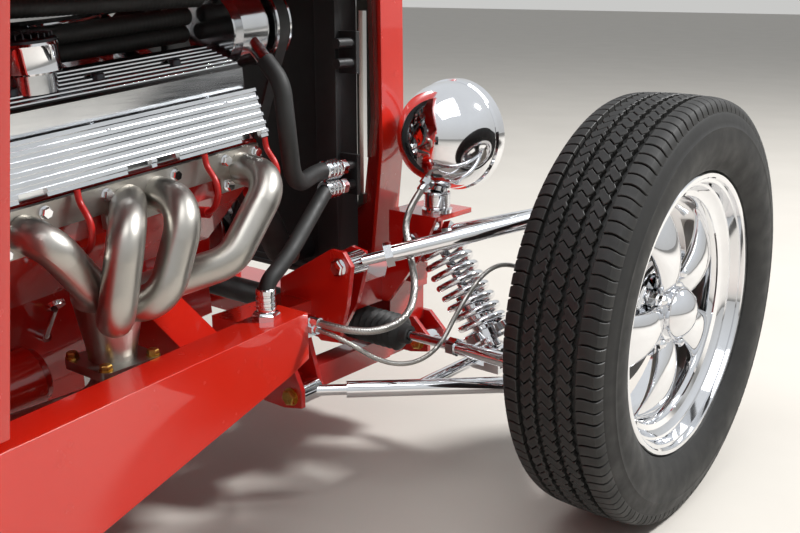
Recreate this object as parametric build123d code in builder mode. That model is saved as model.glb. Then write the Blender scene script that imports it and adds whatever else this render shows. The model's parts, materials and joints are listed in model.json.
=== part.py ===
"""A fenderless street rod roadster with an open V8, tubular front arms and five-spoke wheels.

Millimetres. +Z is up, the front of the car is towards -Y and its right side towards -X.
The origin is on the ground, in the middle of the car's length and width.
Most pieces are drawn on the left side and mirrored. "Aft" is a distance behind the front axle.
"""

import os
from math import cos, radians, sin, tan

from build123d import *

os.makedirs("parts", exist_ok=True)

# Driving dimensions
wheelbase = 2690.0
rear_overhang = 560.0
front_half_track = 705.0
rear_half_track = 700.0
running_gap = 5.0
seat_gap = 0.3

front_tyre_radius, front_tyre_width = 314.0, 157.0
rear_tyre_radius, rear_tyre_width = 369.0, 255.0
rim_lip_radius, bead_radius, well_radius = 208.0, 190.5, 170.0
front_rim_half_width, rear_rim_half_width = 61.0, 100.0
rim_wall = 5.0
spoke_count = 5
lug_circle_radius = 57.0

overall_length = wheelbase + front_tyre_radius + rear_overhang
front_axle_y = front_tyre_radius - overall_length / 2
rear_axle_y = front_axle_y + wheelbase

rail_width = 60.0
rail_top = 306.0
rail_bottom = 150.0
rail_nose_aft = 347.0
kick_top = 535.0
kick_bottom = 465.0
rail_end_aft = wheelbase + 404.0
tail_hole_x, tail_hole_diameter = (-300, -240, 240, 300), 14.0

rack_aft, rack_z = 135.0, 229.0
rack_bar_diameter = 22.0
arm_tube = 26.0

engine_front_aft, crank_z, engine_tilt = 250.0, 393.0, 5.0
sill_z = rail_top + 10 + seat_gap
wall = 40.0
cowl_front_aft = 845.0
arch_radius = 262.0
door_front_y, door_rear_y = -290.0, 330.0


def at(aft):
    """The car's Y of a place this far behind the front axle."""
    return front_axle_y + aft


def rod(start, end, diameter, bore=0):
    """A straight round bar, or a tube if it has a bore."""
    run = Vector(*end) - Vector(*start)
    with BuildPart() as bar:
        with BuildSketch(Plane(origin=start, z_dir=run)):
            Circle(diameter / 2)
            if bore:
                Circle(bore / 2, mode=Mode.SUBTRACT)
        extrude(amount=run.length)
    return bar.part


def hex_rod(start, end, across):
    """A hexagonal bar, for nuts and bolt heads."""
    run = Vector(*end) - Vector(*start)
    with BuildPart() as bar:
        with BuildSketch(Plane(origin=start, z_dir=run)):
            RegularPolygon(across / 2, 6, major_radius=False)
        extrude(amount=run.length)
    return bar.part


def tube(points, radii, diameter):
    """A round bar along straight runs joined by tangent arcs."""
    with BuildPart() as run:
        with BuildLine():
            path = FilletPolyline(*points, radius=radii)
        with BuildSketch(Plane(origin=path @ 0, z_dir=path % 0)):
            Circle(diameter / 2)
        sweep()
    return run.part


def plate(outline, aft_front, aft_rear, round_off=0):
    """A plate across the car, between two distances aft, with its outline in X and Z."""
    with BuildPart() as sheet:
        with BuildSketch(Plane.XZ.offset(-at(aft_front))) as face:
            Polygon(*outline, align=None)
            if round_off:
                fillet(face.vertices(), round_off)
        extrude(amount=aft_front - aft_rear)
    return sheet.part


def block(x0, x1, aft0, aft1, z0, z1):
    """A box between two corners, given as X, aft and Z."""
    with BuildPart() as box:
        with Locations(((x0 + x1) / 2, at((aft0 + aft1) / 2), (z0 + z1) / 2)):
            Box(abs(x1 - x0), abs(aft1 - aft0), abs(z1 - z0))
    return box.part


def soft_radii(points, share=0.45):
    """The largest arc at each corner that leaves its two runs some straight."""
    radii = []
    for before, here, after in zip(points, points[1:], points[2:]):
        first = Vector(*here) - Vector(*before)
        second = Vector(*after) - Vector(*here)
        turn = radians(first.get_angle(second))
        radii.append(share * min(first.length, second.length) / tan(turn / 2))
    return radii


def write(name, part):
    """Labels a finished piece and writes its file."""
    part.label = name
    export_step(part, f"parts/{name}.step")


# Frame: two boxed rails, shaped by a side view and a plan view
rail_side = (  # aft, height
    (rail_nose_aft, 317),
    (842, rail_top),
    (2150, rail_top),
    (2400, kick_top),
    (rail_end_aft, kick_top),
    (rail_end_aft, kick_bottom),
    (2440, kick_bottom),
    (2190, rail_bottom),
    (760, rail_bottom),
    (387, 233),
    (rail_nose_aft, 246),
)
rail_plan = (  # outer face from the centre line, aft
    (330, rail_nose_aft),
    (380, 842),
    (430, 1200),
    (452, 1800),
    (452, 2050),
    (372, 2300),
    (372, rail_end_aft),
)
with BuildPart() as frame:
    with BuildSketch(Plane.YZ):
        Polygon(*[(at(aft), z) for aft, z in rail_side], align=None)
    extrude(amount=600)
    with BuildSketch(Plane.XY):
        outer = [(x, at(aft)) for x, aft in rail_plan]
        inner = [(x - rail_width, at(aft)) for x, aft in reversed(rail_plan)]
        Polygon(*(outer + inner), align=None)
    extrude(amount=700, mode=Mode.INTERSECT)
    mirror(about=Plane.YZ)
    # gearbox crossmember, seat crossmember, axle crossmember and tail crossmember
    for aft, half_width, z_low, z_high, depth in (
        (1480, 395, 160, 205, 70),
        (2120, 395, 155, 205, 60),
        (2490, 330, 475, 525, 40),
        (rail_end_aft - 40, 330, kick_bottom + 5, kick_top - 5, 50),
    ):
        add(block(-half_width, half_width, aft, aft + depth, z_low, z_high))
    # tabs for the rear dampers' heads, and ears for the rear links
    for side in (1, -1):
        for x in (207, 238):
            add(block(side * x, side * (x + 5), 2528, 2616, 495.5, 518))
        add(block(side * 262, side * 385, 2150, 2160, 284, 430))
        for x in (262, 306):
            add(block(side * x, side * (x + 8), 2155, 2222, 284, 430))
    # engine mount brackets, boxed, rising inwards from the rails
    for side in (1, -1):
        bracket = ((318, rail_top - 8), (318, 236), (240, 262), (152, 300), (152, 352), (196, 358))
        add(plate([(side * x, z) for x, z in bracket], 480, 548))
    # bolt holes down through the tail crossmember, where a tow bar or a carrier fastens
    with Locations(*[(x, at(rail_end_aft - 15), (kick_top + kick_bottom) / 2) for x in tail_hole_x]):
        Cylinder(tail_hole_diameter / 2, 80, mode=Mode.SUBTRACT)
write("frame", frame.part)

# Front crossmember: cross tube, side boxes, ears for the arms, and the lamp and damper shelf
shelf_low, shelf_top = 414.0, 422.0
ear_thickness = 8
upper_rear_pivot = (330, at(250), 370)
upper_front_pivot = (330, at(87), 376)
lower_rear_pivot = (285, at(311), 172)
lower_front_pivot = (285, at(0), 172)
with BuildPart() as front_crossmember:
    add(block(-255, 255, -19, 75, 150, 215))
    for side in (1, -1):
        add(block(side * 205, side * (270 - seat_gap), -19, 420, 264, rail_top))
        add(block(side * 215, side * 262, -19, 75, 200, 270))
        add(block(side * 222, side * 258, 70, 334, 150, 188))
        # lower ears, front pair on the tube's end and rear pair under the side box
        ear = ((225, 264), (225, 150), (270, 150), (307, 158), (307, 186), (268, 264))
        add(plate([(side * x, z) for x, z in ear], 333, 333 + ear_thickness))
        ear = ((225, 264), (225, 150), (270, 150), (293, 160), (293, 184), (268, 264))
        add(plate([(side * x, z) for x, z in ear], 281, 281 + ear_thickness))
        ear = ((230, 215), (230, 150), (270, 150), (307, 158), (307, 186), (275, 215))
        for aft in (-27, 19):
            add(plate([(side * x, z) for x, z in ear], aft, aft + ear_thickness))
        # upper rear ears
        ear = (
            (205, 300),
            (205, 330),
            (312, 394),
            (338, 394),
            (354, 374),
            (344, 310),
            (326, 250),
            (290, 246),
            (262, 266),
        )
        add(plate([(side * x, z) for x, z in ear], 270, 270 + ear_thickness))
        ear = (
            (205, 300), (205, 330), (312, 390), (338, 385), (338, 355), (322, 300), (290, 246), (262, 266),
        )
        add(plate([(side * x, z) for x, z in ear], 222, 222 + ear_thickness))
        # upper front ear, with the shelf for the headlamp stand and the damper's top
        ear = (
            (240, 266), (240, 300), (276, 306), (285, 340), (285, shelf_top), (380, shelf_top), (352, 356),
            (282, 264),
        )
        add(plate([(side * x, z) for x, z in ear], 98, 98 + ear_thickness))
        add(block(side * 283, side * 380, 8, 100, shelf_low, shelf_top))
        add(block(side * 283, side * 291, 8, 100, 300, shelf_top))
        add(block(side * 258, side * 291, 8, 48, 286, 305))
        # damper's top tab, under the shelf
        for aft in (10, 36):
            tab = ((294, shelf_low + 3), (294, 372), (324, 372), (324, shelf_low + 3))
            add(plate([(side * x, z) for x, z in tab], aft, aft + 5))
    # pivot bolts
    for side in (1, -1):
        for (x, y, z), head, nut in (
            (upper_rear_pivot, 36, -34),
            (lower_rear_pivot, 38, -36),
            (lower_front_pivot, 35, -35),
            (upper_front_pivot, 28, -16),
        ):
            add(rod((side * x, y + nut, z), (side * x, y + head - 6, z), 12))
            add(hex_rod((side * x, y + head - 8, z), (side * x, y + head, z), 19))
write("front_crossmember", front_crossmember.part)

# Arms: each a pair of polished tubes from their pivot eyes to a ball joint
lower_ball = Vector(595, at(-20), 160)
upper_ball = Vector(595, at(20), 455)
kingpin = (upper_ball - lower_ball).normalized()
joint_housing, housing_half, joint_gap = 44.0, 16.0, 3.0


def arm(pivots, ball, eye_lengths, jam_nuts):
    """One arm: eyes along Y at the pivots, tubes, jam nuts and a ball joint housing."""
    with BuildPart() as legs:
        for pivot, length in zip(pivots, eye_lengths):
            centre = Vector(*pivot)
            half = Vector(0, length / 2, 0)
            run = (ball - centre).normalized()
            add(rod(centre - half, centre + half, 36))
            add(rod(centre + run * 14, centre + run * 70, 17))
            if jam_nuts:
                add(hex_rod(centre + run * 52, centre + run * 64, 34))
            add(rod(centre + run * 64, ball - run * 8, arm_tube))
        add(rod(ball - kingpin * housing_half, ball + kingpin * housing_half, joint_housing))
        for pivot, length in zip(pivots, eye_lengths):
            centre = Vector(*pivot)
            half = Vector(0, length / 2 + 2, 0)
            # the bolt's hole through each eye
            with BuildSketch(Plane(origin=centre - half, z_dir=(0, 1, 0))):
                Circle(6 + seat_gap)
            extrude(amount=length + 4, mode=Mode.SUBTRACT)
    return legs.part


upper_left = arm((upper_rear_pivot, upper_front_pivot), upper_ball, (39, 21), True)
with BuildPart() as upper_arms:
    add(upper_left)
    mirror(about=Plane.YZ)
write("upper_arms", upper_arms.part)

damper_foot = Vector(450, at(24), 192)
damper_head = Vector(309, at(26), 384)
damper_run = (damper_head - damper_foot).normalized()
lower_left = arm((lower_rear_pivot, lower_front_pivot), lower_ball, (43, 36), False)
with BuildPart() as lower_arms:
    add(lower_left)
    # cross tube between the legs and the damper's foot bracket on it
    add(rod((405, at(-8), 167), (405, at(183), 168), 20))
    for aft in (4, 38):
        foot = ((436, 160), (464, 160), (464, 204), (436, 204))
        add(plate(foot, aft, aft + 6))
    add(block(405, 464, 2, 44, 160, 168))
    add(rod((450, at(2), 192), (450, at(46), 192), 12))
    mirror(about=Plane.YZ)
write("lower_arms", lower_arms.part)

# Coilovers: damper body, threaded collar, shaft and an open spring
spring_radius, spring_wire, spring_pitch, spring_coils = 36.0, 12.0, 19.0, 8
spring_start, spring_cap = 40.0, 13.0


def coilover(foot, head, radius, wire, pitch, coils, start, eye_half):
    """A damper with its spring, from its foot to its head."""
    run = (head - foot).normalized()
    length = (head - foot).length
    height = pitch * coils
    seat_low = foot + run * start
    seat_high = foot + run * (start + height)
    with BuildPart() as unit:
        for end in (foot, head):
            add(rod(end - eye_half, end + eye_half, 26, 12 + 2 * seat_gap))
        add(rod(foot + run * 10, foot + run * 26, 22))
        add(rod(foot + run * 24, foot + run * (start + height * 0.45), 42))
        add(rod(foot + run * (start + height * 0.4), head - run * 12, 16))
        # collar rings under the spring and the cap above it, with the spring's ends sunk in them
        cap = 2 * radius + wire + 2
        add(rod(seat_low - run * 21, seat_low - run * 16, 0.75 * cap))
        add(rod(seat_low - run * spring_cap, seat_low, cap))
        add(rod(seat_high, seat_high + run * spring_cap, cap))
        sunk = wire / 2 + 0.5
        with BuildLine():
            coil = Helix(pitch, height + 2 * sunk, radius, center=seat_low - run * sunk, direction=run)
        with BuildSketch(Plane(origin=coil @ 0, z_dir=coil % 0)):
            Circle(wire / 2)
        sweep(path=coil, is_frenet=True)
    return unit.part


front_unit = coilover(
    damper_foot,
    damper_head,
    spring_radius,
    spring_wire,
    spring_pitch,
    spring_coils,
    spring_start,
    Vector(0, 10, 0),
)
with BuildPart() as front_coilovers:
    add(front_unit)
    mirror(about=Plane.YZ)
write("front_coilovers", front_coilovers.part)

# Steering rack: a housing with ribbed boots; the bar runs through it
boot_start, boot_end, boot_ribs = 225.0, 352.0, 9
with BuildPart() as steering_rack:
    with BuildSketch(Plane.XY.offset(rack_z)) as half_section:
        rib_pitch = (boot_end - boot_start - 14) / boot_ribs
        outline = [(0, 22), (boot_start, 22), (boot_start, 27)]
        for rib in range(boot_ribs):
            crest = boot_start + rib_pitch * (rib + 0.5)
            outline += [(crest, 30), (boot_start + rib_pitch * (rib + 1), 22.5)]
        outline += [(boot_end - 12, 18), (boot_end, 15)]
        inner = [(boot_end, 9), (boot_end - 16, 9), (boot_end - 26, 15), (boot_start + 6, 15)]
        inner += [(boot_start, 12), (0, 12)]
        Polygon(*[(x, at(rack_aft) + r) for x, r in outline + inner], align=None)
    revolve(axis=Axis((0, at(rack_aft), rack_z), (1, 0, 0)))
    mirror(about=Plane.YZ)
    for side in (1, -1):
        clamp = block(side * 207, side * 222, rack_aft - 22, rack_aft + 22, rack_z + 8, 264 - seat_gap)
        bore = rod((side * 200, at(rack_aft), rack_z), (side * 230, at(rack_aft), rack_z), 40)
        add(clamp - bore)
write("steering_rack", steering_rack.part)

# Tie rods: one sliding bar with sleeves and end housings under the steering arms
steering_arm_eye = Vector(585, at(rack_aft), 248)
with BuildPart() as tie_rods:
    add(rod((-260, at(rack_aft), rack_z), (260, at(rack_aft), rack_z), rack_bar_diameter))
    for side in (1, -1):
        add(rod((side * 255, at(rack_aft), rack_z), (side * 585, at(rack_aft), rack_z), 15))
        add(rod((side * 445, at(rack_aft), rack_z), (side * 545, at(rack_aft), rack_z), 22))
        add(hex_rod((side * 432, at(rack_aft), rack_z), (side * 446, at(rack_aft), rack_z), 26))
        add(rod((side * 585, at(rack_aft), 213), (side * 585, at(rack_aft), 240), 32))
write("tie_rods", tie_rods.part)

# Knuckles: upright, ball joint bosses, steering arm, spindle and brake caliper
disc_x = 660.0
hub_face_x = 697.0
with BuildPart() as knuckle_left:
    upright = ((-44, 181), (6, 181), (44, 290), (44, 340), (40, 434), (0, 434), (-44, 340))
    with BuildSketch(Plane.YZ.offset(612)) as upright_face:
        Polygon(*[(at(aft), z) for aft, z in upright], align=None)
        fillet(upright_face.vertices(), 8)
    extrude(amount=26)
    near, far = housing_half + joint_gap, housing_half + joint_gap + 26
    for ball, low, high in ((lower_ball, near, far), (upper_ball, -far, -near)):
        add(rod(ball + kingpin * low, ball + kingpin * high, 37))
        centre = ball + kingpin * (low + high) / 2
        with Locations((610, centre.Y, centre.Z)):
            Box(30, 28, 18)
    # steering arm
    add(rod((620, at(34), 262), tuple(steering_arm_eye + Vector(0, 0, 5)), 20))
    add(rod(tuple(steering_arm_eye + Vector(0, 0, -7)), tuple(steering_arm_eye + Vector(0, 0, 12)), 32))
    add(hex_rod(tuple(steering_arm_eye + Vector(0, 0, 10)), tuple(steering_arm_eye + Vector(0, 0, 22)), 19))
    # union for the brake hose, round the kingpin's own line so that it only turns
    union = lower_ball + kingpin * ((330 - lower_ball.Z) / kingpin.Z)
    add(rod(union - kingpin * 8, union + kingpin * 8, 22))
    add(rod(union, union + Vector(20, 0, 0), 14))
    # caliper behind the axle, straddling the disc
    add(block(630, 650, 20, 150, 290, 340))
    with BuildSketch(Plane.YZ.offset(642)) as caliper_face:
        with BuildLine():
            CenterArc((at(0), front_tyre_radius), 150, -22, 54)
            CenterArc((at(0), front_tyre_radius), 92, -22, 54)
            for angle in (-22, 32):
                start = (at(0) + 92 * cos(radians(angle)), front_tyre_radius + 92 * sin(radians(angle)))
                end = (at(0) + 150 * cos(radians(angle)), front_tyre_radius + 150 * sin(radians(angle)))
                Line(start, end)
        make_face()
    extrude(amount=42)
    with Locations((disc_x, at(0), front_tyre_radius)):
        Cylinder(142, 18, rotation=(0, 90, 0), mode=Mode.SUBTRACT)
    # hub of the upright and its spindle, through the disc's middle
    add(rod((612, at(0), front_tyre_radius), (650, at(0), front_tyre_radius), 60))
    add(rod((636, at(0), front_tyre_radius), (hub_face_x + 25, at(0), front_tyre_radius), 30))
write("knuckle_left", knuckle_left.part)
write("knuckle_right", mirror(knuckle_left.part, about=Plane.YZ))

# Front brake discs with their hubs
with BuildPart() as brake_disc_left:
    z = front_tyre_radius
    add(rod((disc_x - 5, at(0), z), (disc_x + 5, at(0), z), 270, 110))
    add(rod((disc_x - 5, at(0), z), (hub_face_x - 3, at(0), z), 150, 130))
    add(rod((hub_face_x - 10, at(0), z), (hub_face_x - seat_gap, at(0), z), 150, 32))
    add(rod((655, at(0), z), (hub_face_x - 4, at(0), z), 62, 32))
write("brake_disc_left", brake_disc_left.part)
write("brake_disc_right", mirror(brake_disc_left.part, about=Plane.YZ))


# Wheels and tyres, drawn about the X axis with outboard towards +X
def wheel(half_width, spoke_offset, hub_back, drum):
    """A deep stepped rim with broad rounded spokes, a domed cap, lug nuts and a valve."""
    lip, seat, well = rim_lip_radius, bead_radius, well_radius
    tyre_side = [
        (half_width, lip),
        (half_width - 5, lip),
        (half_width - 7, seat + 3),
        (half_width - 25, seat - 2),
        (half_width - 32, well),
        (-half_width + 42, well),
        (-half_width + 32, seat - 2),
        (-half_width + 7, seat + 3),
        (-half_width + 5, lip),
        (-half_width, lip),
    ]
    hub_side = [
        (-half_width, lip - 8),
        (-half_width + 4, seat - 3),
        (-half_width + 30, seat - 8),
        (-half_width + 40, well - rim_wall),
        (half_width - 30, well - rim_wall),
        (half_width - 22, seat - 8),
        (half_width - 4, seat - 3),
        (half_width, lip - 8),
    ]
    with BuildPart() as wheel_part:
        # spoked centre: a dished disc with rounded windows
        with BuildSketch(Plane.XY):
            with BuildLine():
                Polyline(
                    (spoke_offset - 14, 30),
                    (spoke_offset - 14, 74),
                    (spoke_offset - 2, 118),
                    (spoke_offset - 6, well - 2),
                    (spoke_offset + 14, well - 2),
                    (spoke_offset + 20, 120),
                    (spoke_offset + 6, 70),
                    (spoke_offset + 6, 30),
                    close=True,
                )
            make_face()
        revolve(axis=Axis.X)
        window_half = 360 / spoke_count / 2
        with BuildSketch(Plane.YZ.offset(spoke_offset - 30)) as windows:
            with PolarLocations(0, spoke_count):
                with BuildLine():
                    inner_radius, outer_radius = 70, well - rim_wall - 5
                    inner_half, outer_half = radians(window_half - 15), radians(window_half - 15.5)
                    Polyline(
                        (inner_radius * cos(inner_half), inner_radius * sin(inner_half)),
                        (outer_radius * cos(outer_half), outer_radius * sin(outer_half)),
                        (outer_radius * 1.0, 0),
                        (outer_radius * cos(outer_half), -outer_radius * sin(outer_half)),
                        (inner_radius * cos(inner_half), -inner_radius * sin(inner_half)),
                        close=True,
                    )
                make_face()
            fillet(windows.vertices(), 9)
        extrude(amount=80, mode=Mode.SUBTRACT)
        with BuildSketch(Plane.XY):
            with BuildLine():
                Polyline(*tyre_side, *hub_side, close=True)
            make_face()
        revolve(axis=Axis.X)
        # domed cap
        with BuildSketch(Plane.XY):
            with BuildLine():
                Polyline((spoke_offset, 0), (spoke_offset, 39), (spoke_offset + 20, 39), (spoke_offset + 24, 36))
                ThreePointArc((spoke_offset + 24, 36), (spoke_offset + 40, 22), (spoke_offset + 47, 3))
                Polyline((spoke_offset + 47, 3), (spoke_offset + 47, 0), (spoke_offset, 0))
            make_face()
        revolve(axis=Axis.X)
        # lug nuts
        with BuildSketch(Plane.YZ.offset(spoke_offset + 4)):
            with PolarLocations(lug_circle_radius, spoke_count, start_angle=0):
                RegularPolygon(9.5, 6, major_radius=False)
        extrude(amount=16)
        with BuildSketch(Plane.YZ.offset(spoke_offset + 18)):
            with PolarLocations(lug_circle_radius, spoke_count, start_angle=0):
                Circle(8)
        extrude(amount=10, taper=25)
        # hub pad behind the spokes, bored for the spindle
        with BuildSketch(Plane.YZ.offset(hub_back)):
            Circle(72)
        extrude(amount=spoke_offset - hub_back)
        if drum:
            with BuildSketch(Plane.YZ.offset(hub_back - 62)):
                Circle(142)
                Circle(40, mode=Mode.SUBTRACT)
            extrude(amount=62.5)
        with BuildSketch(Plane.YZ.offset(hub_back - 1)):
            Circle(16)
        extrude(amount=spoke_offset - hub_back + 19, mode=Mode.SUBTRACT)
    return wheel_part.part


def tyre(radius, width, half_rim):
    """A tyre as one ring: bead, sidewalls with a raised ring, and a crowned tread with grooves."""
    half = width / 2
    bead = half_rim - 6.2
    shoulder = half - 15
    with BuildPart() as ring:
        with BuildSketch(Plane.XY):
            with BuildLine():
                Line((0, bead_radius + 1), (bead - 1, bead_radius + 3.8))
                Line((bead - 1, bead_radius + 3.8), (bead, rim_lip_radius + 1))
                Line((bead, rim_lip_radius + 1), (half_rim + 1, rim_lip_radius + 3))
                ThreePointArc(
                    (half_rim + 1, rim_lip_radius + 3),
                    (half, (rim_lip_radius + radius) / 2 - 4),
                    (half - 7, radius - 22),
                )
                ThreePointArc((half - 7, radius - 22), (half - 11, radius - 9), (shoulder - 6, radius - 3))
                ThreePointArc((shoulder - 6, radius - 3), (shoulder / 2, radius - 0.8), (0, radius))
                Line((0, radius), (0, bead_radius + 1))
            make_face()
            mirror(about=Plane.YZ)
        revolve(axis=Axis.X)
        # four grooves round the tread
        for share in (-0.52, -0.18, 0.18, 0.52):
            with BuildSketch(Plane.XY):
                with Locations((share * shoulder, radius)):
                    Rectangle(width * 0.045, 15)
            revolve(axis=Axis.X, mode=Mode.SUBTRACT)
    return ring.part


front_wheel = wheel(front_rim_half_width, 18, hub_face_x - front_half_track, False)
rear_wheel = wheel(rear_rim_half_width, 22, -10, True)
front_tyre = tyre(front_tyre_radius, front_tyre_width, front_rim_half_width)
rear_tyre = tyre(rear_tyre_radius, rear_tyre_width, rear_rim_half_width)
for name, wheel_shape, tyre_shape, half_track, y, z in (
    ("front", front_wheel, front_tyre, front_half_track, front_axle_y, front_tyre_radius),
    ("rear", rear_wheel, rear_tyre, rear_half_track, rear_axle_y, rear_tyre_radius),
):
    for side_name, turn in (("left", 0), ("right", 180)):
        place = Location((half_track * (1 if turn == 0 else -1), y, z), (0, 0, turn))
        write(f"wheel_{name}_{side_name}", wheel_shape.moved(place))
        write(f"tyre_{name}_{side_name}", tyre_shape.moved(place))

# Rear axle: banjo housing, tubes, spring and link brackets
axle = (0, rear_axle_y, rear_tyre_radius)
spring_bracket = ((-104, 284), (10, 300), (10, 345), (-35, 345), (-45, 318), (-104, 318))
with BuildPart() as rear_axle:
    with Locations(axle):
        Sphere(128)
    with Locations((0, rear_axle_y, rear_tyre_radius)):
        Box(150, 300, 300, mode=Mode.INTERSECT)
    add(rod((-(rear_half_track - 75), *axle[1:]), (rear_half_track - 75, *axle[1:]), 76))
    add(rod((0, rear_axle_y - 190, rear_tyre_radius - 6), (0, rear_axle_y - 90, rear_tyre_radius), 90))
    for side in (1, -1):
        add(rod((side * (rear_half_track - 98), *axle[1:]), (side * (rear_half_track - 78), *axle[1:]), 150))
        for x in (262, 306):
            add(block(side * x, side * (x + 8), wheelbase - 60, wheelbase + 30, 300, 440))
        for x in (207, 238):
            with BuildSketch(Plane.YZ.offset(side * x if side > 0 else side * x - 5)):
                Polygon(*[(rear_axle_y + aft, z) for aft, z in spring_bracket], align=None)
            extrude(amount=5)
        # stub shaft into the wheel's hub
        add(rod((side * (rear_half_track - 80), *axle[1:]), (side * (rear_half_track + 5), *axle[1:]), 30))
write("rear_axle", rear_axle.part)

# Rear links and coilovers
link_x, link_eye_half = 288, 18 - seat_gap
rear_unit = coilover(
    Vector(225, at(wheelbase - 90), 300),
    Vector(225, at(wheelbase - 96), 500),
    36,
    12,
    20,
    7,
    40,
    Vector(12.7, 0, 0),
)
with BuildPart() as rear_suspension:
    add(rear_unit)
    for axle_z, frame_z in ((415, 400), (322, 305)):
        axle_end = Vector(link_x, at(wheelbase - 40), axle_z)
        frame_end = Vector(link_x, at(2200), frame_z)
        add(rod(axle_end, frame_end, 25))
        for end in (axle_end, frame_end):
            half = Vector(link_eye_half, 0, 0)
            add(rod(end - half, end + half, 38))
    mirror(about=Plane.YZ)
write("rear_suspension", rear_suspension.part)

# Engine, in a frame that leans back with the crankshaft: X across, Y aft, Z up
lean = radians(engine_tilt)
engine = Plane(
    origin=(0, at(engine_front_aft), crank_z),
    x_dir=(1, 0, 0),
    z_dir=(0, sin(lean), cos(lean)),
)
port_y = (156, 298, 342, 488)
port_x, port_z = 268, 154
head_front, head_rear = 112, 598


def on_engine(x, y, z):
    """A point of the engine's own frame, in the car's frame."""
    return engine.from_local_coords(Vector(x, y, z))


def engine_section(y):
    """The plane across the engine at this distance behind its front, looking forwards."""
    return Plane(origin=on_engine(0, y, 0), x_dir=(1, 0, 0), z_dir=-engine.y_dir)


def along_engine(outline, y0, y1, mirrored=True):
    """A solid with this outline across the engine, from one distance aft to another."""
    with BuildPart() as length:
        with BuildSketch(engine_section(y0)):
            Polygon(*outline, align=None)
            if mirrored:
                mirror(about=Plane.YZ)
        extrude(amount=y0 - y1)
    return length.part


with BuildPart() as engine_block:
    valley = ((0, -70), (115, -70), (118, 10), (218, 106), (108, 216), (40, 190), (0, 190))
    add(along_engine(valley, 95, 600))
    # heads, with their exhaust faces upright
    head = ((218, 106), (port_x, 122), (port_x, 184), (262, 185), (179, 268), (108, 216))
    add(along_engine(head, head_front, head_rear))
    # oil pan: shallow in front, with a deep rear sump
    add(along_engine(((0, -70), (105, -70), (105, -118), (92, -126), (0, -126)), 95, 600))
    add(along_engine(((0, -120), (92, -120), (84, -196), (0, -196)), 330, 585))
    # timing cover and its crank nose
    with BuildSketch(engine_section(66)):
        with Locations((0, 0)):
            Circle(85)
        with Locations((0, 120)):
            Circle(58)
        make_hull()
    extrude(amount=-35)
    # exhaust bosses round each port
    for side in (1, -1):
        for y in port_y:
            start = on_engine(side * (port_x - 10), y, port_z)
            add(rod(start, on_engine(side * (port_x + 4), y, port_z), 52))
    # starter on the right, its nose against the bell
    starter_x = -164
    for y_front, y_rear, diameter in ((452, 598, 86), (440, 456, 70)):
        add(rod(on_engine(starter_x, y_front, -70), on_engine(starter_x, y_rear, -70), diameter))
    add(along_engine(((-150, -90), (-105, -90), (-105, -50), (-150, -50)), 500, 598, mirrored=False))
write("engine_block", engine_block.part)

# Finned valve covers, with the breather on the right one
fin_count, fin_height = 7, 3.5
cover_low_outer, cover_high_outer = (262.2, 185.2), (262, 284)
cover_high_inner, cover_low_inner = (176, 311), (179.2, 268.2)
with BuildPart() as valve_covers:
    slope = (cover_high_inner[1] - cover_high_outer[1]) / (cover_high_inner[0] - cover_high_outer[0])
    fin_pitch = (cover_high_outer[0] - cover_high_inner[0] - 16) / fin_count
    top = []
    for fin in range(fin_count):
        x = cover_high_outer[0] - 8 - fin_pitch * fin
        z = cover_high_outer[1] + slope * (x - cover_high_outer[0])
        for step, rise in ((0, 0), (0.08, fin_height), (0.42, fin_height), (0.5, 0)):
            top.append((x - fin_pitch * step, z - slope * fin_pitch * step + rise))
    outline = [cover_low_outer, cover_high_outer, *top, cover_high_inner, cover_low_inner]
    add(along_engine(outline, head_front + 6, head_rear - 14))
    # hold-down bolts
    for side in (1, -1):
        for y in (200, 320, 440, 545):
            base = on_engine(side * 222, y, 296)
            add(rod(tuple(base), tuple(base + engine.z_dir * 8), 15))
    foot, crown = on_engine(-214, 407, 295), on_engine(-214, 407, 352)
    add(rod(tuple(foot), tuple(crown), 62))
    add(rod(tuple(on_engine(-214, 407, 320)), tuple(crown), 74))
write("valve_covers", valve_covers.part)

# Plug wire looms: ribbed covers that step down at each lead
loom_ribs = 6
with BuildPart() as plug_looms:
    foot, head_point = (289, 190), (269, 255)
    face = []
    for rib in range(loom_ribs):
        for step, depth in ((0.1, 9), (0.5, 9), (0.6, 6), (1.0, 6)):
            share = (rib + step) / loom_ribs
            x = head_point[0] + (foot[0] - head_point[0]) * share
            z = head_point[1] + (foot[1] - head_point[1]) * share
            face.append((x + depth, z + depth * 0.3))
    outline = [foot, head_point, *face]
    add(along_engine(outline, head_front + 1, head_rear - 8))
    # bosses that stand the looms off the valve covers
    for side in (1, -1):
        for y in (170, 355, 540):
            foot = on_engine(side * (cover_high_outer[0] + 2 * seat_gap), y, 238)
            add(rod(foot, on_engine(side * 280, y, 238), 18))
    # stepped lower edge
    for side in (1, -1):
        for y in port_y:
            with BuildSketch(engine_section(y - 30)):
                with Locations((side * 292, 190)):
                    Rectangle(34, 24)
            extrude(amount=-36, mode=Mode.SUBTRACT)
write("plug_looms", plug_looms.part)

# Plug leads: from under the looms, out and down to the plugs
plug_y, plug_z = (118, 226, 419, 534), 106
with BuildPart() as plug_leads:
    for side in (1, -1):
        for y in plug_y:
            route = ((292, 0, 189.9), (293, 0, 175), (318, 3, 150), (302, 2, 115), (264, 0, plug_z))
            points = [tuple(on_engine(side * x, y + shift, z)) for x, shift, z in route]
            add(tube(points, soft_radii(points), 8))
            add(rod(on_engine(side * 244, y, plug_z), on_engine(side * 286, y, plug_z + 4), 15))
write("plug_leads", plug_leads.part)

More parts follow.
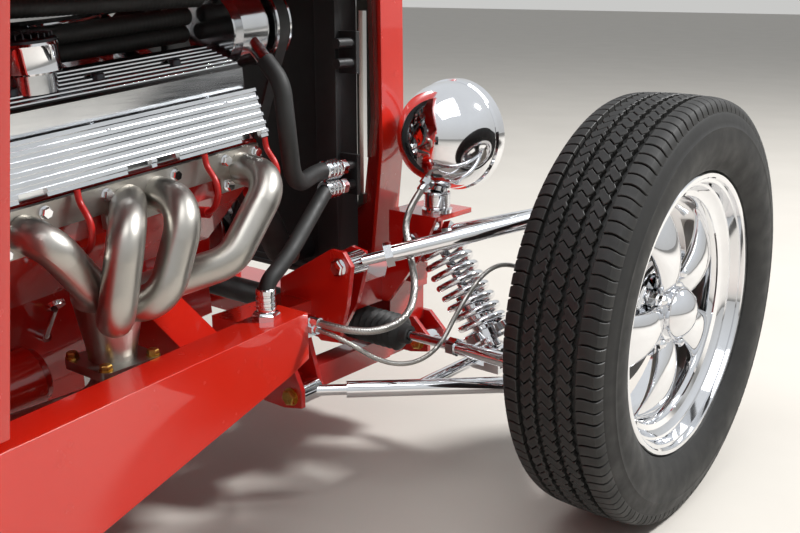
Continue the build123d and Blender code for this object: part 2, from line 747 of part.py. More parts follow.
# Intake manifold, throttle body and a low round air cleaner
with BuildPart() as intake:
    add(along_engine(((0, 192), (44, 192), (100, 222), (160, 270), (120, 296), (0, 300)), 130, 585))
    add(rod(on_engine(0, 330, 288), on_engine(0, 330, 352), 150))
    # coolant outlet
    add(rod(on_engine(30, 150, 285), on_engine(30, 104, 318), 40))
    # runners
    for side in (1, -1):
        for y in port_y:
            add(rod(tuple(on_engine(side * 60, y, 300)), tuple(on_engine(side * 142, y, 268)), 44))
write("intake_manifold", intake.part)

with BuildPart() as air_cleaner:
    centre = on_engine(0, 330, 0)
    tilt = Plane(origin=tuple(centre), x_dir=(1, 0, 0), z_dir=engine.z_dir)
    with BuildSketch(Plane(origin=tuple(centre), x_dir=(1, 0, 0), z_dir=-engine.y_dir)):
        Polygon(
            (0, 352.3), (88, 352.3), (168, 366), (176, 372), (176, 376), (150, 380), (150, 424),
            (176, 428), (176, 433), (168, 440), (60, 448), (0, 449),
            align=None,
        )
    revolve(axis=Axis(tuple(centre), engine.z_dir))
    add(rod(tuple(on_engine(0, 330, 445)), tuple(on_engine(0, 330, 462)), 26))
write("air_cleaner", air_cleaner.part)

# Headers: flange plates, four tubes a side and a collector
header_tube = 44.5
collector_x, collector_aft = 246, 622
with BuildPart() as left_header:
    face_x = port_x + 4 + seat_gap
    flange = ((face_x, 128), (port_x + 14, 128), (port_x + 14, 182), (face_x, 182))
    add(along_engine(flange, port_y[0] - 34, port_y[3] + 34, mirrored=False))
    for y, y0 in ((220, 196), (415, 380)):
        with BuildSketch(engine_section(y0)):
            with Locations((port_x + 9, 134)):
                Rectangle(24, 30)
        extrude(amount=-70, mode=Mode.SUBTRACT)
    ends = (  # port, places on the way down, and the collector's quarter
        (0, ((350, 6, 150), (352, 96, 62)), (17, -17), (42, 50)),
        (1, ((352, 10, 152), (350, 66, 40)), (20, 17), (46, 46)),
        (2, ((352, 58, 148), (346, 92, 30)), (-17, -20), (46, 40)),
        (3, ((318, -8, 146), (300, -66, 66)), (-17, 17), (30, 50)),
    )
primaries = []
for index, places, quarter, radii in ends:
    start = on_engine(port_x + 10, port_y[index], port_z)
    points = [tuple(start)]
    for x, y, z in places:
        points.append(tuple(on_engine(x, port_y[index] + y, z)))
    top = (collector_x + quarter[0], at(collector_aft + quarter[1]), 392)
    points.append(top)
    primaries.append(tube(points, radii, header_tube))
with BuildPart() as headers:
    add(left_header.part)
    for primary in primaries:
        add(primary)
    # the tubes' ends are trimmed flush behind the flange
    trim = ((port_x - 40, 100), (face_x, 100), (face_x, 200), (port_x - 40, 200))
    add(along_engine(trim, port_y[0] - 60, port_y[3] + 60, mirrored=False), mode=Mode.SUBTRACT)
    with BuildSketch(Plane(origin=(collector_x, at(collector_aft), 398))):
        RectangleRounded(86, 86, 34)
    with BuildSketch(Plane(origin=(collector_x, at(collector_aft), 318))):
        Circle(31)
    loft()
    with BuildSketch(Plane(origin=(collector_x, at(collector_aft), 300))):
        Circle(31)
    extrude(amount=20)
    with BuildSketch(Plane(origin=(collector_x, at(collector_aft), 299))):
        RectangleRounded(92, 92, 12)
    extrude(amount=12)
    mirror(about=Plane.YZ)
write("exhaust_headers", headers.part)

# Pulleys, alternator, compressor and their brackets on the engine's nose
compressor = (-190, 330)
pulleys = (  # x, z, radius on the engine's frame
    (0, 0, 82),
    (0, 150, 70),
    (196, 300, 34),
    (*compressor, 58),
)
belt_y, belt_width = 8, 20
with BuildPart() as accessory_drive:
    for x, z, radius in pulleys:
        front, back = on_engine(x, belt_y - 4, z), on_engine(x, belt_y + belt_width + 4, z)
        add(rod(tuple(front), tuple(back), 2 * radius - 6))
        for y in (belt_y - 4, belt_y + belt_width + seat_gap):
            add(rod(tuple(on_engine(x, y, z)), tuple(on_engine(x, y + 3.5, z)), 2 * radius + 4))
        add(rod(tuple(on_engine(x, belt_y - 16, z)), tuple(front), 36))
    # shafts back to the crank, pump, alternator and compressor
    add(rod(tuple(on_engine(0, 20, 0)), tuple(on_engine(0, 66 - seat_gap, 0)), 54))
    add(rod(tuple(on_engine(0, 20, 150)), tuple(on_engine(0, 66 - seat_gap, 150)), 100))
    # coolant inlet of the water pump, and the compressor's line fitting
    inlet = rod(on_engine(-40, 60, 128), on_engine(-97.7, 60, 128), 42)
    beside_cover = ((-64, 60), (0, 60), (0, 190), (-64, 190))
    add(inlet - along_engine(beside_cover, 66 - seat_gap, 90, mirrored=False))
    add(rod(on_engine(-226, 75, 324), on_engine(-262, 75, 288), 22))
    for x, z, diameter, y0, y1 in ((196, 300, 128, 40, 106), (*compressor, 116, 40, 106)):
        add(rod(tuple(on_engine(x, 24, z)), tuple(on_engine(x, y1 - 20, z)), 24))
        add(rod(tuple(on_engine(x, y0, z)), tuple(on_engine(x, y0 + 14, z)), diameter - 16))
        add(rod(tuple(on_engine(x, y0 + 10, z)), tuple(on_engine(x, y1 - 10, z)), diameter))
        add(rod(tuple(on_engine(x, y1 - 14, z)), tuple(on_engine(x, y1, z)), diameter - 16))
    for side, x, z in ((1, 196, 300), (-1, *compressor)):
        strap = (
            (0, 130), (side * 30, 190), (x - side * 20, z + 20), (x + side * 24, z - 30), (side * 60, 130),
        )
        with BuildSketch(engine_section(52)):
            Polygon(*strap, align=None)
        extrude(amount=-12)
write("accessory_drive", accessory_drive.part)

# Gearbox with its bell, and the shaft to the rear axle
gearbox_tail = on_engine(0, 1330, -12)
with BuildPart() as gearbox:
    with BuildSketch(engine_section(600 + seat_gap)):
        Circle(172)
    with BuildSketch(engine_section(760)):
        RectangleRounded(230, 250, 60)
    loft()
    with BuildSketch(engine_section(755)):
        with Locations((0, -10)):
            RectangleRounded(236, 236, 50)
    extrude(amount=-300)
    add(rod(tuple(on_engine(0, 1050, -12)), tuple(gearbox_tail), 120))
    joint_at = (0, rear_axle_y - 205, rear_tyre_radius - 6)
    add(rod(tuple(gearbox_tail - engine.y_dir * 10), joint_at, 72))
write("gearbox", gearbox.part)

# Radiator with side tanks, ahead of the engine and inside the shell
radiator_front, radiator_rear = 122, 172
with BuildPart() as radiator:
    add(block(-190, 190, radiator_front + 8, radiator_rear - 8, 318, 780))
    for side in (1, -1):
        add(block(side * 189, side * 232, radiator_front, radiator_rear, 312, 786))
        for z in (485, 674):
            add(block(side * 225, side * 268, radiator_rear - 16, radiator_rear - 8, z - 32, z + 32))
            for end_z in (z - 15, z + 15):
                back = (side * 258, at(radiator_rear + 26), end_z)
                add(rod((side * 258, at(radiator_rear - 12), end_z), back, 15))
    for z in (311, 776):
        add(block(-190, 190, radiator_front + 4, radiator_rear - 4, z, z + 12))
    add(block(-230, 230, radiator_front, radiator_rear, rail_top + seat_gap, 313))
    # outlets for the lower and upper hoses
    add(rod((-150, at(radiator_rear - 10), 352), (-150, at(radiator_rear + 24), 352), 46))
    add(rod((150, at(radiator_rear - 10), 742), (150, at(radiator_rear + 24), 742), 40))
write("radiator", radiator.part)

# Hoses on the engine: ribbed lower radiator hose, upper hose and two air conditioning lines
lower_hose_end = on_engine(-98, 60, 128)
lower_hose_bend = lower_hose_end - Vector(54, 0, 0)
upper_hose_end = on_engine(30, 103.7, 318.2)
line_end = on_engine(-262.3, 75, 287.7)
hose_routes = (  # diameter, points as X, aft and height
    (46, ((-150, 196.3, 352), (-150, 222, 352), (-172, 262, 400), (-184, 302, 452))),
    (26, ((-258, 198.3, 500), (-258, 246, 500), (-288, 326, 492), (-302, 350, 575), (-291, 347.3, 643.7))),
    (24, ((-258, 198.3, 470), (-258, 226, 470), (-276, 280, 440), (-296, 350, 396), (-300, 400, 366))),
    (40, ((150, 196.3, 742), (150, 216, 742), (126, 262, 778), (66, 314, 778), (30, 346, 732))),
)
rail_line_end = Vector(-300, at(400), rail_top + 21)
hose_ends = ((lower_hose_bend, lower_hose_end), (line_end,), (rail_line_end,), (upper_hose_end,))
with BuildPart() as engine_hoses:
    for (diameter, route), end in zip(hose_routes, hose_ends):
        points = [(x, at(aft), z) for x, aft, z in route] + [tuple(place) for place in end]
        add(tube(points, soft_radii(points), diameter))
    # drive belt round the pulleys
    with BuildSketch(engine_section(belt_y)):
        for x, z, radius in pulleys:
            with Locations((x, z)):
                Circle(radius + 1.5)
        make_hull()
        offset(amount=-(4.5 - seat_gap), mode=Mode.SUBTRACT)
    extrude(amount=-belt_width)
write("hoses_and_belt", engine_hoses.part)

# Grille shell: a frame with an open mouth, and its bars
shell_front, shell_rear = 52, 118
shell_outline = (  # half width, height
    (150, rail_top + seat_gap),
    (262, 330),
    (282, 520),
    (278, 760),
)
shell_top = 930
with BuildPart() as grille_shell:
    with BuildSketch(Plane.XZ.offset(-at(shell_rear))) as shell_face:
        with BuildLine():
            for side in (1, -1):
                points = [(side * x, z) for x, z in shell_outline]
                Polyline(*points)
                TangentArc(points[-1], (side * 190, 905), tangent=(-side * 0.02, 1))
                ThreePointArc((side * 190, 905), (side * 100, 924), (0, shell_top))
            Line((150, rail_top + seat_gap), (-150, rail_top + seat_gap))
        make_face()
    extrude(amount=shell_rear - shell_front, taper=8)
    # hollow, from the back, leaving a front face with the mouth in it
    with BuildSketch(Plane.XZ.offset(-at(shell_rear))):
        add(shell_face.sketch)
        offset(amount=-7, mode=Mode.REPLACE)
    extrude(amount=shell_rear - shell_front - 12, taper=8, mode=Mode.SUBTRACT)
    with BuildSketch(Plane.XZ.offset(-at(shell_rear))):
        with BuildLine():
            for side in (1, -1):
                Polyline((side * 96, 350), (side * 196, 420), (side * 214, 560), (side * 208, 740))
                TangentArc((side * 208, 740), (side * 140, 842), tangent=(-side * 0.02, 1))
                ThreePointArc((side * 140, 842), (side * 70, 856), (0, 860))
            Line((96, 350), (-96, 350))
        make_face()
    extrude(amount=shell_rear - shell_front + 5, mode=Mode.SUBTRACT)
write("grille_shell", grille_shell.part)

bar_count, bar_width = 19, 5
with BuildPart() as grille_bars:
    with BuildSketch(Plane.XZ.offset(-at(shell_front + 22 + seat_gap))):
        with BuildLine():
            for side in (1, -1):
                Polyline((side * 98, 346), (side * 202, 416), (side * 221, 560), (side * 215, 742))
                TangentArc((side * 215, 742), (side * 144, 850), tangent=(-side * 0.02, 1))
                ThreePointArc((side * 144, 850), (side * 70, 862), (0, 867))
            Line((98, 346), (-98, 346))
        make_face()
    extrude(amount=10)
    bar_pitch = 430 / (bar_count + 1)
    with BuildSketch(Plane.XZ.offset(-at(shell_front + 30))):
        for index in range(bar_count + 1):
            x = -215 + bar_pitch * (index + 0.5)
            top = 842 - 0.0018 * x * x if abs(x) < 145 else 842 - (abs(x) - 145) ** 2 * 0.02 - 38
            bottom = 354 if abs(x) < 92 else 354 + (abs(x) - 92) * 0.7
            with Locations((x, (top + bottom) / 2)):
                Rectangle(bar_pitch - bar_width, top - bottom)
    extrude(amount=20, mode=Mode.SUBTRACT)
write("grille_bars", grille_bars.part)

# Headlamps: bullet shells on stands, with conduit fittings, and their lenses
lamp_centre = Vector(364, at(48), 544)
lamp_front, lamp_radius, bezel_radius = -30, 85, 88
with BuildPart() as headlamp_left:
    with BuildSketch(Plane.YZ.offset(lamp_centre.X)):
        y, z = lamp_centre.Y, lamp_centre.Z
        with BuildLine():
            front = y + lamp_front
            Polyline((front, z), (front, z + 80), (y - 22, z + bezel_radius), (y - 6, z + bezel_radius))
            Polyline((y - 6, z + bezel_radius), (y - 3, z + lamp_radius), (y, z + lamp_radius))
            CenterArc((y, z), lamp_radius, 0, 90)
            Line((y + lamp_radius, z), (y + lamp_front, z))
        make_face()
    revolve(axis=Axis((lamp_centre.X, lamp_centre.Y, lamp_centre.Z), (0, 1, 0)))
    with BuildSketch(Plane.XZ.offset(-(lamp_centre.Y + lamp_front))):
        with Locations((lamp_centre.X, lamp_centre.Z)):
            Circle(74)
    extrude(amount=-30, mode=Mode.SUBTRACT)
    # stand on the shelf: foot, knurled collar and cap
    add(rod((355, at(69), shelf_top + seat_gap), (355, at(69), 428), 50))
    add(rod((355, at(69), 427), (355, at(69), 456), 36))
    add(rod((355, at(69), 431), (355, at(69), 438), 40))
    add(rod((355, at(69), 443), (355, at(69), 450), 40))
    add(rod((355, at(66), 452), (355, at(52), 474), 28))
    # conduit fitting, out of the lower back of the shell
    add(rod((358, at(78), 490), (352, at(108), 462), 16))
    add(hex_rod((356, at(90), 479), (354, at(100), 470), 20))
with BuildPart() as headlamps:
    add(headlamp_left.part)
    mirror(about=Plane.YZ)
write("headlamps", headlamps.part)

with BuildPart() as lamp_lenses:
    y = lamp_centre.Y + lamp_front
    with BuildSketch(Plane.YZ.offset(lamp_centre.X)):
        with BuildLine():
            z = lamp_centre.Z
            Polyline((y - 6, z), (y + 16, z), (y + 16, z + 73.5), (y + 8, z + 73.5))
            ThreePointArc((y + 8, z + 73.5), (y - 2.5, z + 38), (y - 6, z + 2))
            Line((y - 6, z + 2), (y - 6, z))
        make_face()
    revolve(axis=Axis((lamp_centre.X, lamp_centre.Y, lamp_centre.Z), (0, 1, 0)))
    mirror(about=Plane.YZ)
write("lamp_lenses", lamp_lenses.part)

# Body: one loft through cross sections, hollowed by a second loft, then split into its panels
body_stations = (  # y, half width at the sill, lean of the side, height at the centre
    (at(cowl_front_aft), 378, 0.19, 905),
    (door_front_y, 442, 0.14, 925),
    (door_rear_y, 497, 0.105, 925),
    (700, 500, 0.105, 905),
    (1100, 485, 0.10, 850),
    (1420, 452, 0.09, 740),
    (1640, 420, 0.08, 600),
    (overall_length / 2, 390, 0.05, 450),
)
shoulder_drop, crown_drop, corner_width = 105, 16, 70


def body_face(y, half_sill, lean_out, crown, inset, bottom):
    """The outline of the body at one station, or of its hollow if it has an inset."""
    half_low = half_sill - inset + lean_out * (bottom - sill_z)
    z_shoulder = crown - shoulder_drop
    half_high = half_sill - inset + lean_out * (z_shoulder - sill_z)
    z_top = crown - inset
    z_corner = z_top - crown_drop
    z_side = z_shoulder - inset / 2
    half_side = half_sill - inset + lean_out * (z_side - sill_z)
    half_corner = half_side - corner_width
    with BuildSketch(Plane.XZ.offset(-y)) as face:
        with BuildLine():
            Line((-half_low, bottom), (half_low, bottom))
            for side in (1, -1):
                Line((side * half_low, bottom), (side * half_side, z_side))
                TangentArc(
                    (side * half_side, z_side),
                    (side * half_corner, z_corner),
                    tangent=(side * lean_out, 1),
                )
            ThreePointArc((half_corner, z_corner), (0, z_top), (-half_corner, z_corner))
        make_face()
    return face.sketch


with BuildPart() as body_outside:
    for y, half_sill, lean_out, crown in body_stations:
        add(body_face(y, half_sill, lean_out, crown, 0, sill_z))
    loft()


def body_hollow(inset):
    """The room inside the body, this far in from its skin."""
    stations = [(at(cowl_front_aft) - 30, 378, 0.19, 905), *body_stations[1:-1]]
    stations.append((overall_length / 2 - wall, 398, 0.06, 500))
    with BuildPart() as room:
        for y, half_sill, lean_out, crown in stations:
            add(body_face(y, half_sill, lean_out, crown, inset, sill_z - 20))
        loft()
    return room.part


body_inside = body_hollow(wall)
bulkhead_room = body_hollow(wall + 2 * seat_gap)
with BuildPart() as body_shell:
    add(body_outside.part)
    add(body_inside, mode=Mode.SUBTRACT)
    # cockpit, open from the cowl back to behind the seat
    with BuildSketch(Plane.XY.offset(700)) as cockpit:
        Polygon(
            (-468, door_front_y),
            (468, door_front_y),
            (506, door_rear_y),
            (506, 560),
            (430, 650),
            (-430, 650),
            (-506, 560),
            (-506, door_rear_y),
            align=None,
        )
        fillet(cockpit.vertices().group_by(Axis.Y)[-1], 60)
    extrude(amount=400, mode=Mode.SUBTRACT)
    # the tail's lower edge rises behind the axle, and an arch over it clears the axle and the frame
    with BuildSketch(Plane.YZ.offset(-700)):
        Polygon((1500, sill_z - 30), (1800, sill_z - 30), (1800, 405), (1700, 352), align=None)
        with Locations((rear_axle_y, rear_tyre_radius)):
            Circle(arch_radius)
        with Locations((rear_axle_y, rear_tyre_radius - arch_radius)):
            Rectangle(2 * arch_radius, 2 * arch_radius)
    extrude(amount=1400, mode=Mode.SUBTRACT)


def body_part(x0, x1, y0, y1, z0, z1):
    """The shell's share of a box."""
    with BuildPart() as share:
        with Locations(((x0 + x1) / 2, (y0 + y1) / 2, (z0 + z1) / 2)):
            Box(x1 - x0, y1 - y0, z1 - z0)
        add(body_shell.part, mode=Mode.INTERSECT)
    return share.part


def inside_panel(room, y, thickness, z_low, z_high, cut_half=0, cut_top=0):
    """A sheet across the room inside the body, cut out over a tunnel if asked."""
    with BuildPart() as panel:
        with Locations((0, y, (z_low + z_high) / 2)):
            Box(2000, thickness, z_high - z_low)
        add(room, mode=Mode.INTERSECT)
        if cut_half:
            with Locations((0, y, (z_low + cut_top) / 2 - 50)):
                Box(2 * cut_half, 20, cut_top - z_low + 100, mode=Mode.SUBTRACT)
    return panel.part


# Door hinges stand outside the skin, on a line that leans with it a little
hinge_x, hinge_lean, hinge_base_z, hinge_y = 478, 0.095, 352, door_front_y + 2
hinge_heights, hinge_half, hinge_length, hinge_barrel = (440, 760), 13, 32, 15


def hinge(side, z, low, high, plate_y):
    """A hinge barrel between two heights on the hinge line, with the plate that carries it."""
    def on_line(height):
        return Vector(side * (hinge_x + hinge_lean * (height - hinge_base_z)), hinge_y, height)
    centre = on_line(z + (low + high) / 2)
    with BuildPart() as barrel:
        add(rod(on_line(z + low), on_line(z + high), hinge_barrel))
        with Locations((centre.X - side * 24, hinge_y + plate_y + 5, centre.Z)):
            Box(48, 10, high - low - 1)
    return barrel.part


door_bottom = sill_z + 36
deck_half, deck_front_y, deck_rear_y, deck_rear_lean = 335, 790, 1500, 0.33
deck_hinge_y, deck_hinge_z = deck_front_y - 2, 903
firewall_y = at(905)
tunnel_half = 190
with BuildPart() as cowl:
    add(body_part(-600, 600, at(cowl_front_aft) - 5, door_front_y, sill_z, 1000))
    # firewall, cut over the gearbox, and the instrument panel under the rear edge
    add(inside_panel(body_inside, firewall_y, 4, sill_z, 1000, tunnel_half + 12, 536))
    add(inside_panel(body_inside, door_front_y - 12, 16, 725, 875))
    # hinge barrels for the doors, each side of the door's own
    for side in (1, -1):
        for z in hinge_heights:
            add(hinge(side, z, -hinge_length, -hinge_half - seat_gap, -12))
            add(hinge(side, z, hinge_half + seat_gap, hinge_length, -12))
write("cowl", cowl.part)

with BuildPart() as door_left:
    add(body_part(300, 700, door_front_y + running_gap, door_rear_y - running_gap, door_bottom, 1000))
    for z in hinge_heights:
        add(hinge(1, z, -hinge_half, hinge_half, 2))
    # outside handle
    add(rod((534, 250, 790), (558, 250, 790), 20))
    add(rod((556, 262, 790), (556, 170, 788), 14))
write("door_left", door_left.part)
write("door_right", mirror(door_left.part, about=Plane.YZ))


def deck_block(gap):
    """The deck lid's place, its rear end leaning so that the lid can swing up past it."""
    side_view = (
        (deck_front_y + gap, 560),
        (deck_front_y + gap, 1000),
        (deck_rear_y - gap + deck_rear_lean * 300, 1000),
        (deck_rear_y - gap - deck_rear_lean * 140, 560),
    )
    with BuildPart() as space:
        with BuildSketch(Plane.YZ.offset(gap - deck_half)):
            Polygon(*side_view, align=None)
        extrude(amount=2 * (deck_half - gap))
    return space.part


def deck_hinge(x, low, high, plate_aft):
    """A barrel of the deck lid's hinge, along X, with the foot that carries it."""
    with BuildPart() as barrel:
        add(rod((x + low, deck_hinge_y, deck_hinge_z), (x + high, deck_hinge_y, deck_hinge_z), 12))
        with Locations((x + (low + high) / 2, deck_hinge_y + plate_aft, deck_hinge_z - 8)):
            Box(high - low, 14, 14)
    return barrel.part


with BuildPart() as deck_lid:
    add(deck_block(running_gap))
    add(body_shell.part, mode=Mode.INTERSECT)
    for x in (-240, 240):
        add(deck_hinge(x, -9, 9, 10))
write("deck_lid", deck_lid.part)

with BuildPart() as rear_body:
    add(body_shell.part)
    with Locations((0, (at(cowl_front_aft) + door_front_y) / 2 - 20 + seat_gap, 600)):
        Box(1400, door_front_y - at(cowl_front_aft) + 40, 900, mode=Mode.SUBTRACT)
    with Locations((0, (door_front_y + door_rear_y) / 2, door_bottom - running_gap + 300)):
        Box(1400, door_rear_y - door_front_y, 600, mode=Mode.SUBTRACT)
    add(deck_block(0), mode=Mode.SUBTRACT)
    for x in (-240, 240):
        add(deck_hinge(x, -24, -9 - seat_gap, -8))
        add(deck_hinge(x, 9 + seat_gap, 24, -8))
write("rear_body", rear_body.part)

# Hood top: a crowned sheet between the shell and the cowl, with no sides
hood_sheet, hood_edge_z = 5, 786
hood_ends = (
    (at(shell_rear) + 0.5, 276, 0.0, 926),
    (at(cowl_front_aft) - 0.5, 378, 0.19, 905),
)
with BuildPart() as hood_hollow:
    for (y, half_sill, lean_out, crown), overrun in zip(hood_ends, (-1, 1)):
        add(body_face(y + overrun, half_sill, lean_out, crown, hood_sheet, hood_edge_z - 10))
    loft()
with BuildPart() as hood_top:
    for y, half_sill, lean_out, crown in hood_ends:
        add(body_face(y, half_sill, lean_out, crown, 0, hood_edge_z))
    loft()
    add(hood_hollow.part, mode=Mode.SUBTRACT)
write("hood_top", hood_top.part)

# Floor: sheet on the rails, gearbox tunnel, seat riser, bulkhead and boot floor
floor_z, sheet = rail_top + seat_gap, 10
bulkhead_y = 680
boot_floor_z = kick_top + seat_gap
sill_outline = ((firewall_y + 3, 391), (door_front_y, 434), (door_rear_y, 489), (bulkhead_y, 492))
tunnel_side = ((905, 530), (1120, 520), (1480, 386), (bulkhead_y - front_axle_y + 2, 382))
with BuildPart() as floor:
    with BuildSketch(Plane.XY.offset(floor_z)):
        left_edge = [(x, y) for y, x in sill_outline]
        right_edge = [(-x, y) for x, y in reversed(left_edge)]
        Polygon(*left_edge, *right_edge, align=None)
    extrude(amount=sheet - seat_gap)
    for inset, mode in ((0, Mode.ADD), (5, Mode.SUBTRACT)):
        with BuildSketch(Plane.YZ.offset(inset - tunnel_half)):
            top = [(at(aft) + 3, z - inset) for aft, z in tunnel_side]
            low = floor_z - 2 * inset
            front = top[0][0] - inset
            Polygon((front, low), (front, top[0][1]), *top, (top[-1][0], low), align=None)
        extrude(amount=2 * (tunnel_half - inset), mode=mode)
    # seat riser, open over the tunnel
    for aft in (1490, 1940):
        for side in (1, -1):
            add(block(side * tunnel_half, side * 425, aft, aft + 5, floor_z + 2, 391))
    # bulkhead up to the shell, open over the drive shaft, and the boot's floor
    add(inside_panel(bulkhead_room, bulkhead_y - 3, 6, floor_z, 900, tunnel_half - 5, 375))
    add(block(-372, 372, bulkhead_y - 6 - front_axle_y, 1620 - front_axle_y, boot_floor_z, boot_floor_z + 4))
write("floor", floor.part)

# Windshield: a chromed frame leaning back, its posts on the cowl, and the glass
screen_lean = radians(12)
screen = Plane(
    origin=(0, -336, 926),
    x_dir=(1, 0, 0),
    z_dir=(0, -cos(screen_lean), sin(screen_lean)),
)
screen_width, screen_height, screen_bar = 912, 262, 17
with BuildPart() as windshield_frame:
    with BuildSketch(screen.offset(-11)):
        with Locations((0, screen_height / 2)):
            RectangleRounded(screen_width, screen_height, 34)
            RectangleRounded(
                screen_width - 2 * screen_bar, screen_height - 2 * screen_bar, 20, mode=Mode.SUBTRACT
            )
    extrude(amount=22)
    for side in (1, -1):
        with BuildSketch(screen.offset(-9)):
            Polygon(
                (side * 448, -70), (side * 486, -70), (side * 478, 60), (side * 462, 120), (side * 448, 120),
                align=None,
            )
        extrude(amount=18)
    add(body_outside.part.moved(Location((0, 0, seat_gap))), mode=Mode.SUBTRACT)
write("windshield_frame", windshield_frame.part)

with BuildPart() as windshield_glass:
    with BuildSketch(screen.offset(-3)):
        with Locations((0, screen_height / 2)):
            glass_width = screen_width - 2 * screen_bar - 2 * seat_gap
            RectangleRounded(glass_width, screen_height - 2 * screen_bar - 2 * seat_gap, 19.7)
    extrude(amount=6)
write("windshield_glass", windshield_glass.part)

# Bench seat
seat_half, cushion_top = 425, 528
with BuildPart() as seat_cushion:
    add(block(-seat_half, seat_half, 1440, 1990, 391 + seat_gap, cushion_top))
    fillet(seat_cushion.edges(), 38)
write("seat_cushion", seat_cushion.part)

back_lean = radians(12)
with BuildPart() as seat_back:
    with BuildSketch(Plane.YZ.offset(-seat_half)):
        foot_y, foot_z, thick, tall = at(1880), cushion_top + seat_gap, 120, 325
        top_y, top_z = foot_y + tall * sin(back_lean), foot_z + tall * cos(back_lean)
        Polygon(
            (foot_y, foot_z),
            (top_y, top_z),
            (top_y + thick, top_z),
            (foot_y + thick, foot_z),
            align=None,
        )
    extrude(amount=2 * seat_half)
    fillet(seat_back.edges(), 34)
write("seat_back", seat_back.part)

# Steering column, gear lever and pedals
column_x, column_angle = 230, radians(25)
wheel_centre = Vector(column_x, 20, 800)
column_axis = Vector(0, cos(column_angle), sin(column_angle))
column_foot_y = firewall_y + 2 + seat_gap
with BuildPart() as steering_column:
    top_end = wheel_centre - column_axis * 40
    reach = (top_end.Y - column_foot_y - 12) / column_axis.Y
    add(rod(tuple(top_end - column_axis * reach), tuple(top_end), 44))
    add(rod(tuple(top_end - column_axis * 60), tuple(top_end - column_axis * 4), 58))
    foot = top_end - column_axis * reach
    add(rod((column_x, column_foot_y, foot.Z), (column_x, foot.Y + 20, foot.Z), 70))
    strap_z = wheel_centre.Z + (door_front_y - 12 - wheel_centre.Y) * tan(column_angle)
    with Locations((column_x, door_front_y - 12, (strap_z + 725) / 2)):
        Box(50, 14, 725 - seat_gap - strap_z)
    # gear lever on the tunnel
    with BuildSketch(Plane.YZ.offset(-30)):
        lever_base = ((1300, 454.2), (1360, 431.9), (1360, 446), (1300, 464))
        Polygon(*[(at(aft), z + seat_gap) for aft, z in lever_base], align=None)
    extrude(amount=60)
    add(rod((0, at(1330), 450), (0, at(1350), 640), 12))
    with Locations((0, at(1351), 652)):
        Sphere(24)
    # brake and throttle pedals on the firewall
    for x, pad_width in ((290, 64), (355, 42)):
        add(rod((x, firewall_y + 2 + seat_gap, 650), (x, firewall_y + 34, 650), 20))
        add(rod((x, firewall_y + 26, 655), (x, firewall_y + 120, 470), 12))
        with Locations(Location((x, firewall_y + 120, 462), (-30, 0, 0))):
            Box(pad_width, 10, 66)
write("controls", steering_column.part)

# Steering wheel: a round rim, flat spokes and a hub, drawn about Z and set on the column
rim_radius, grip_radius = 176, 13
with BuildPart() as flat_wheel:
    with BuildSketch(Plane.XY.offset(-3)):
        with Locations((0, rim_radius / 2)):
            Rectangle(22, rim_radius)
        Rectangle(2 * rim_radius, 22)
        Circle(40)
    extrude(amount=6)
    with BuildSketch(Plane.XZ):
        with Locations((rim_radius, 0)):
            Circle(grip_radius)
    revolve(axis=Axis.Z)
    with BuildSketch(Plane.XY.offset(-39.5)):
        Circle(25)
    extrude(amount=36)
    with BuildSketch(Plane.XY.offset(-10)):
        Circle(37)
    extrude(amount=18)
wheel_plane = Plane(origin=tuple(wheel_centre), x_dir=(1, 0, 0), z_dir=column_axis)
write("steering_wheel", flat_wheel.part.moved(wheel_plane.location))

# Fuel tank between the rails, and round tail lamps seated in the tail
with BuildPart() as fuel_tank:
    add(block(-300, 300, 2840, rail_end_aft - 40 - seat_gap, 392, 528))
    fillet(fuel_tank.edges().filter_by(Axis.Y), 30)
write("fuel_tank", fuel_tank.part)

with BuildPart() as tail_lamps:
    for side in (1, -1):
        add(rod((side * 300, 1600, 505), (side * 300, 1758, 505), 74))
        add(rod((side * 300, 1600, 505), (side * 300, 1750, 505), 84))
    add(body_outside.part.moved(Location((0, seat_gap, 0))), mode=Mode.SUBTRACT)
write("tail_lamps", tail_lamps.part)

# Exhaust: pipes under the floor, mufflers and tail pipes under the axle
exhaust_x, exhaust_z, pipe, muffler, tip_outer, tip_bore = 246, 252, 54, 98, 60, 54
with BuildPart() as exhaust:
    front_run = [
        (exhaust_x, at(collector_aft), 299 - seat_gap),
        (exhaust_x, at(collector_aft), exhaust_z),
        (exhaust_x, at(collector_aft + 120), exhaust_z),
    ]
    add(tube(front_run, [44], pipe))
    add(rod((exhaust_x, at(collector_aft + 110), exhaust_z), (exhaust_x, at(3110), exhaust_z), pipe))
    add(rod((exhaust_x, at(1620), exhaust_z), (exhaust_x, at(2060), exhaust_z), muffler))
    add(rod((exhaust_x, at(3100), exhaust_z), (exhaust_x, at(3210), exhaust_z), tip_outer))
    with BuildSketch(Plane.XZ.offset(-at(3211))):
        with Locations((exhaust_x, exhaust_z)):
            Circle(tip_bore / 2)
    extrude(amount=90, mode=Mode.SUBTRACT)
    mirror(about=Plane.YZ)
write("exhaust", exhaust.part)

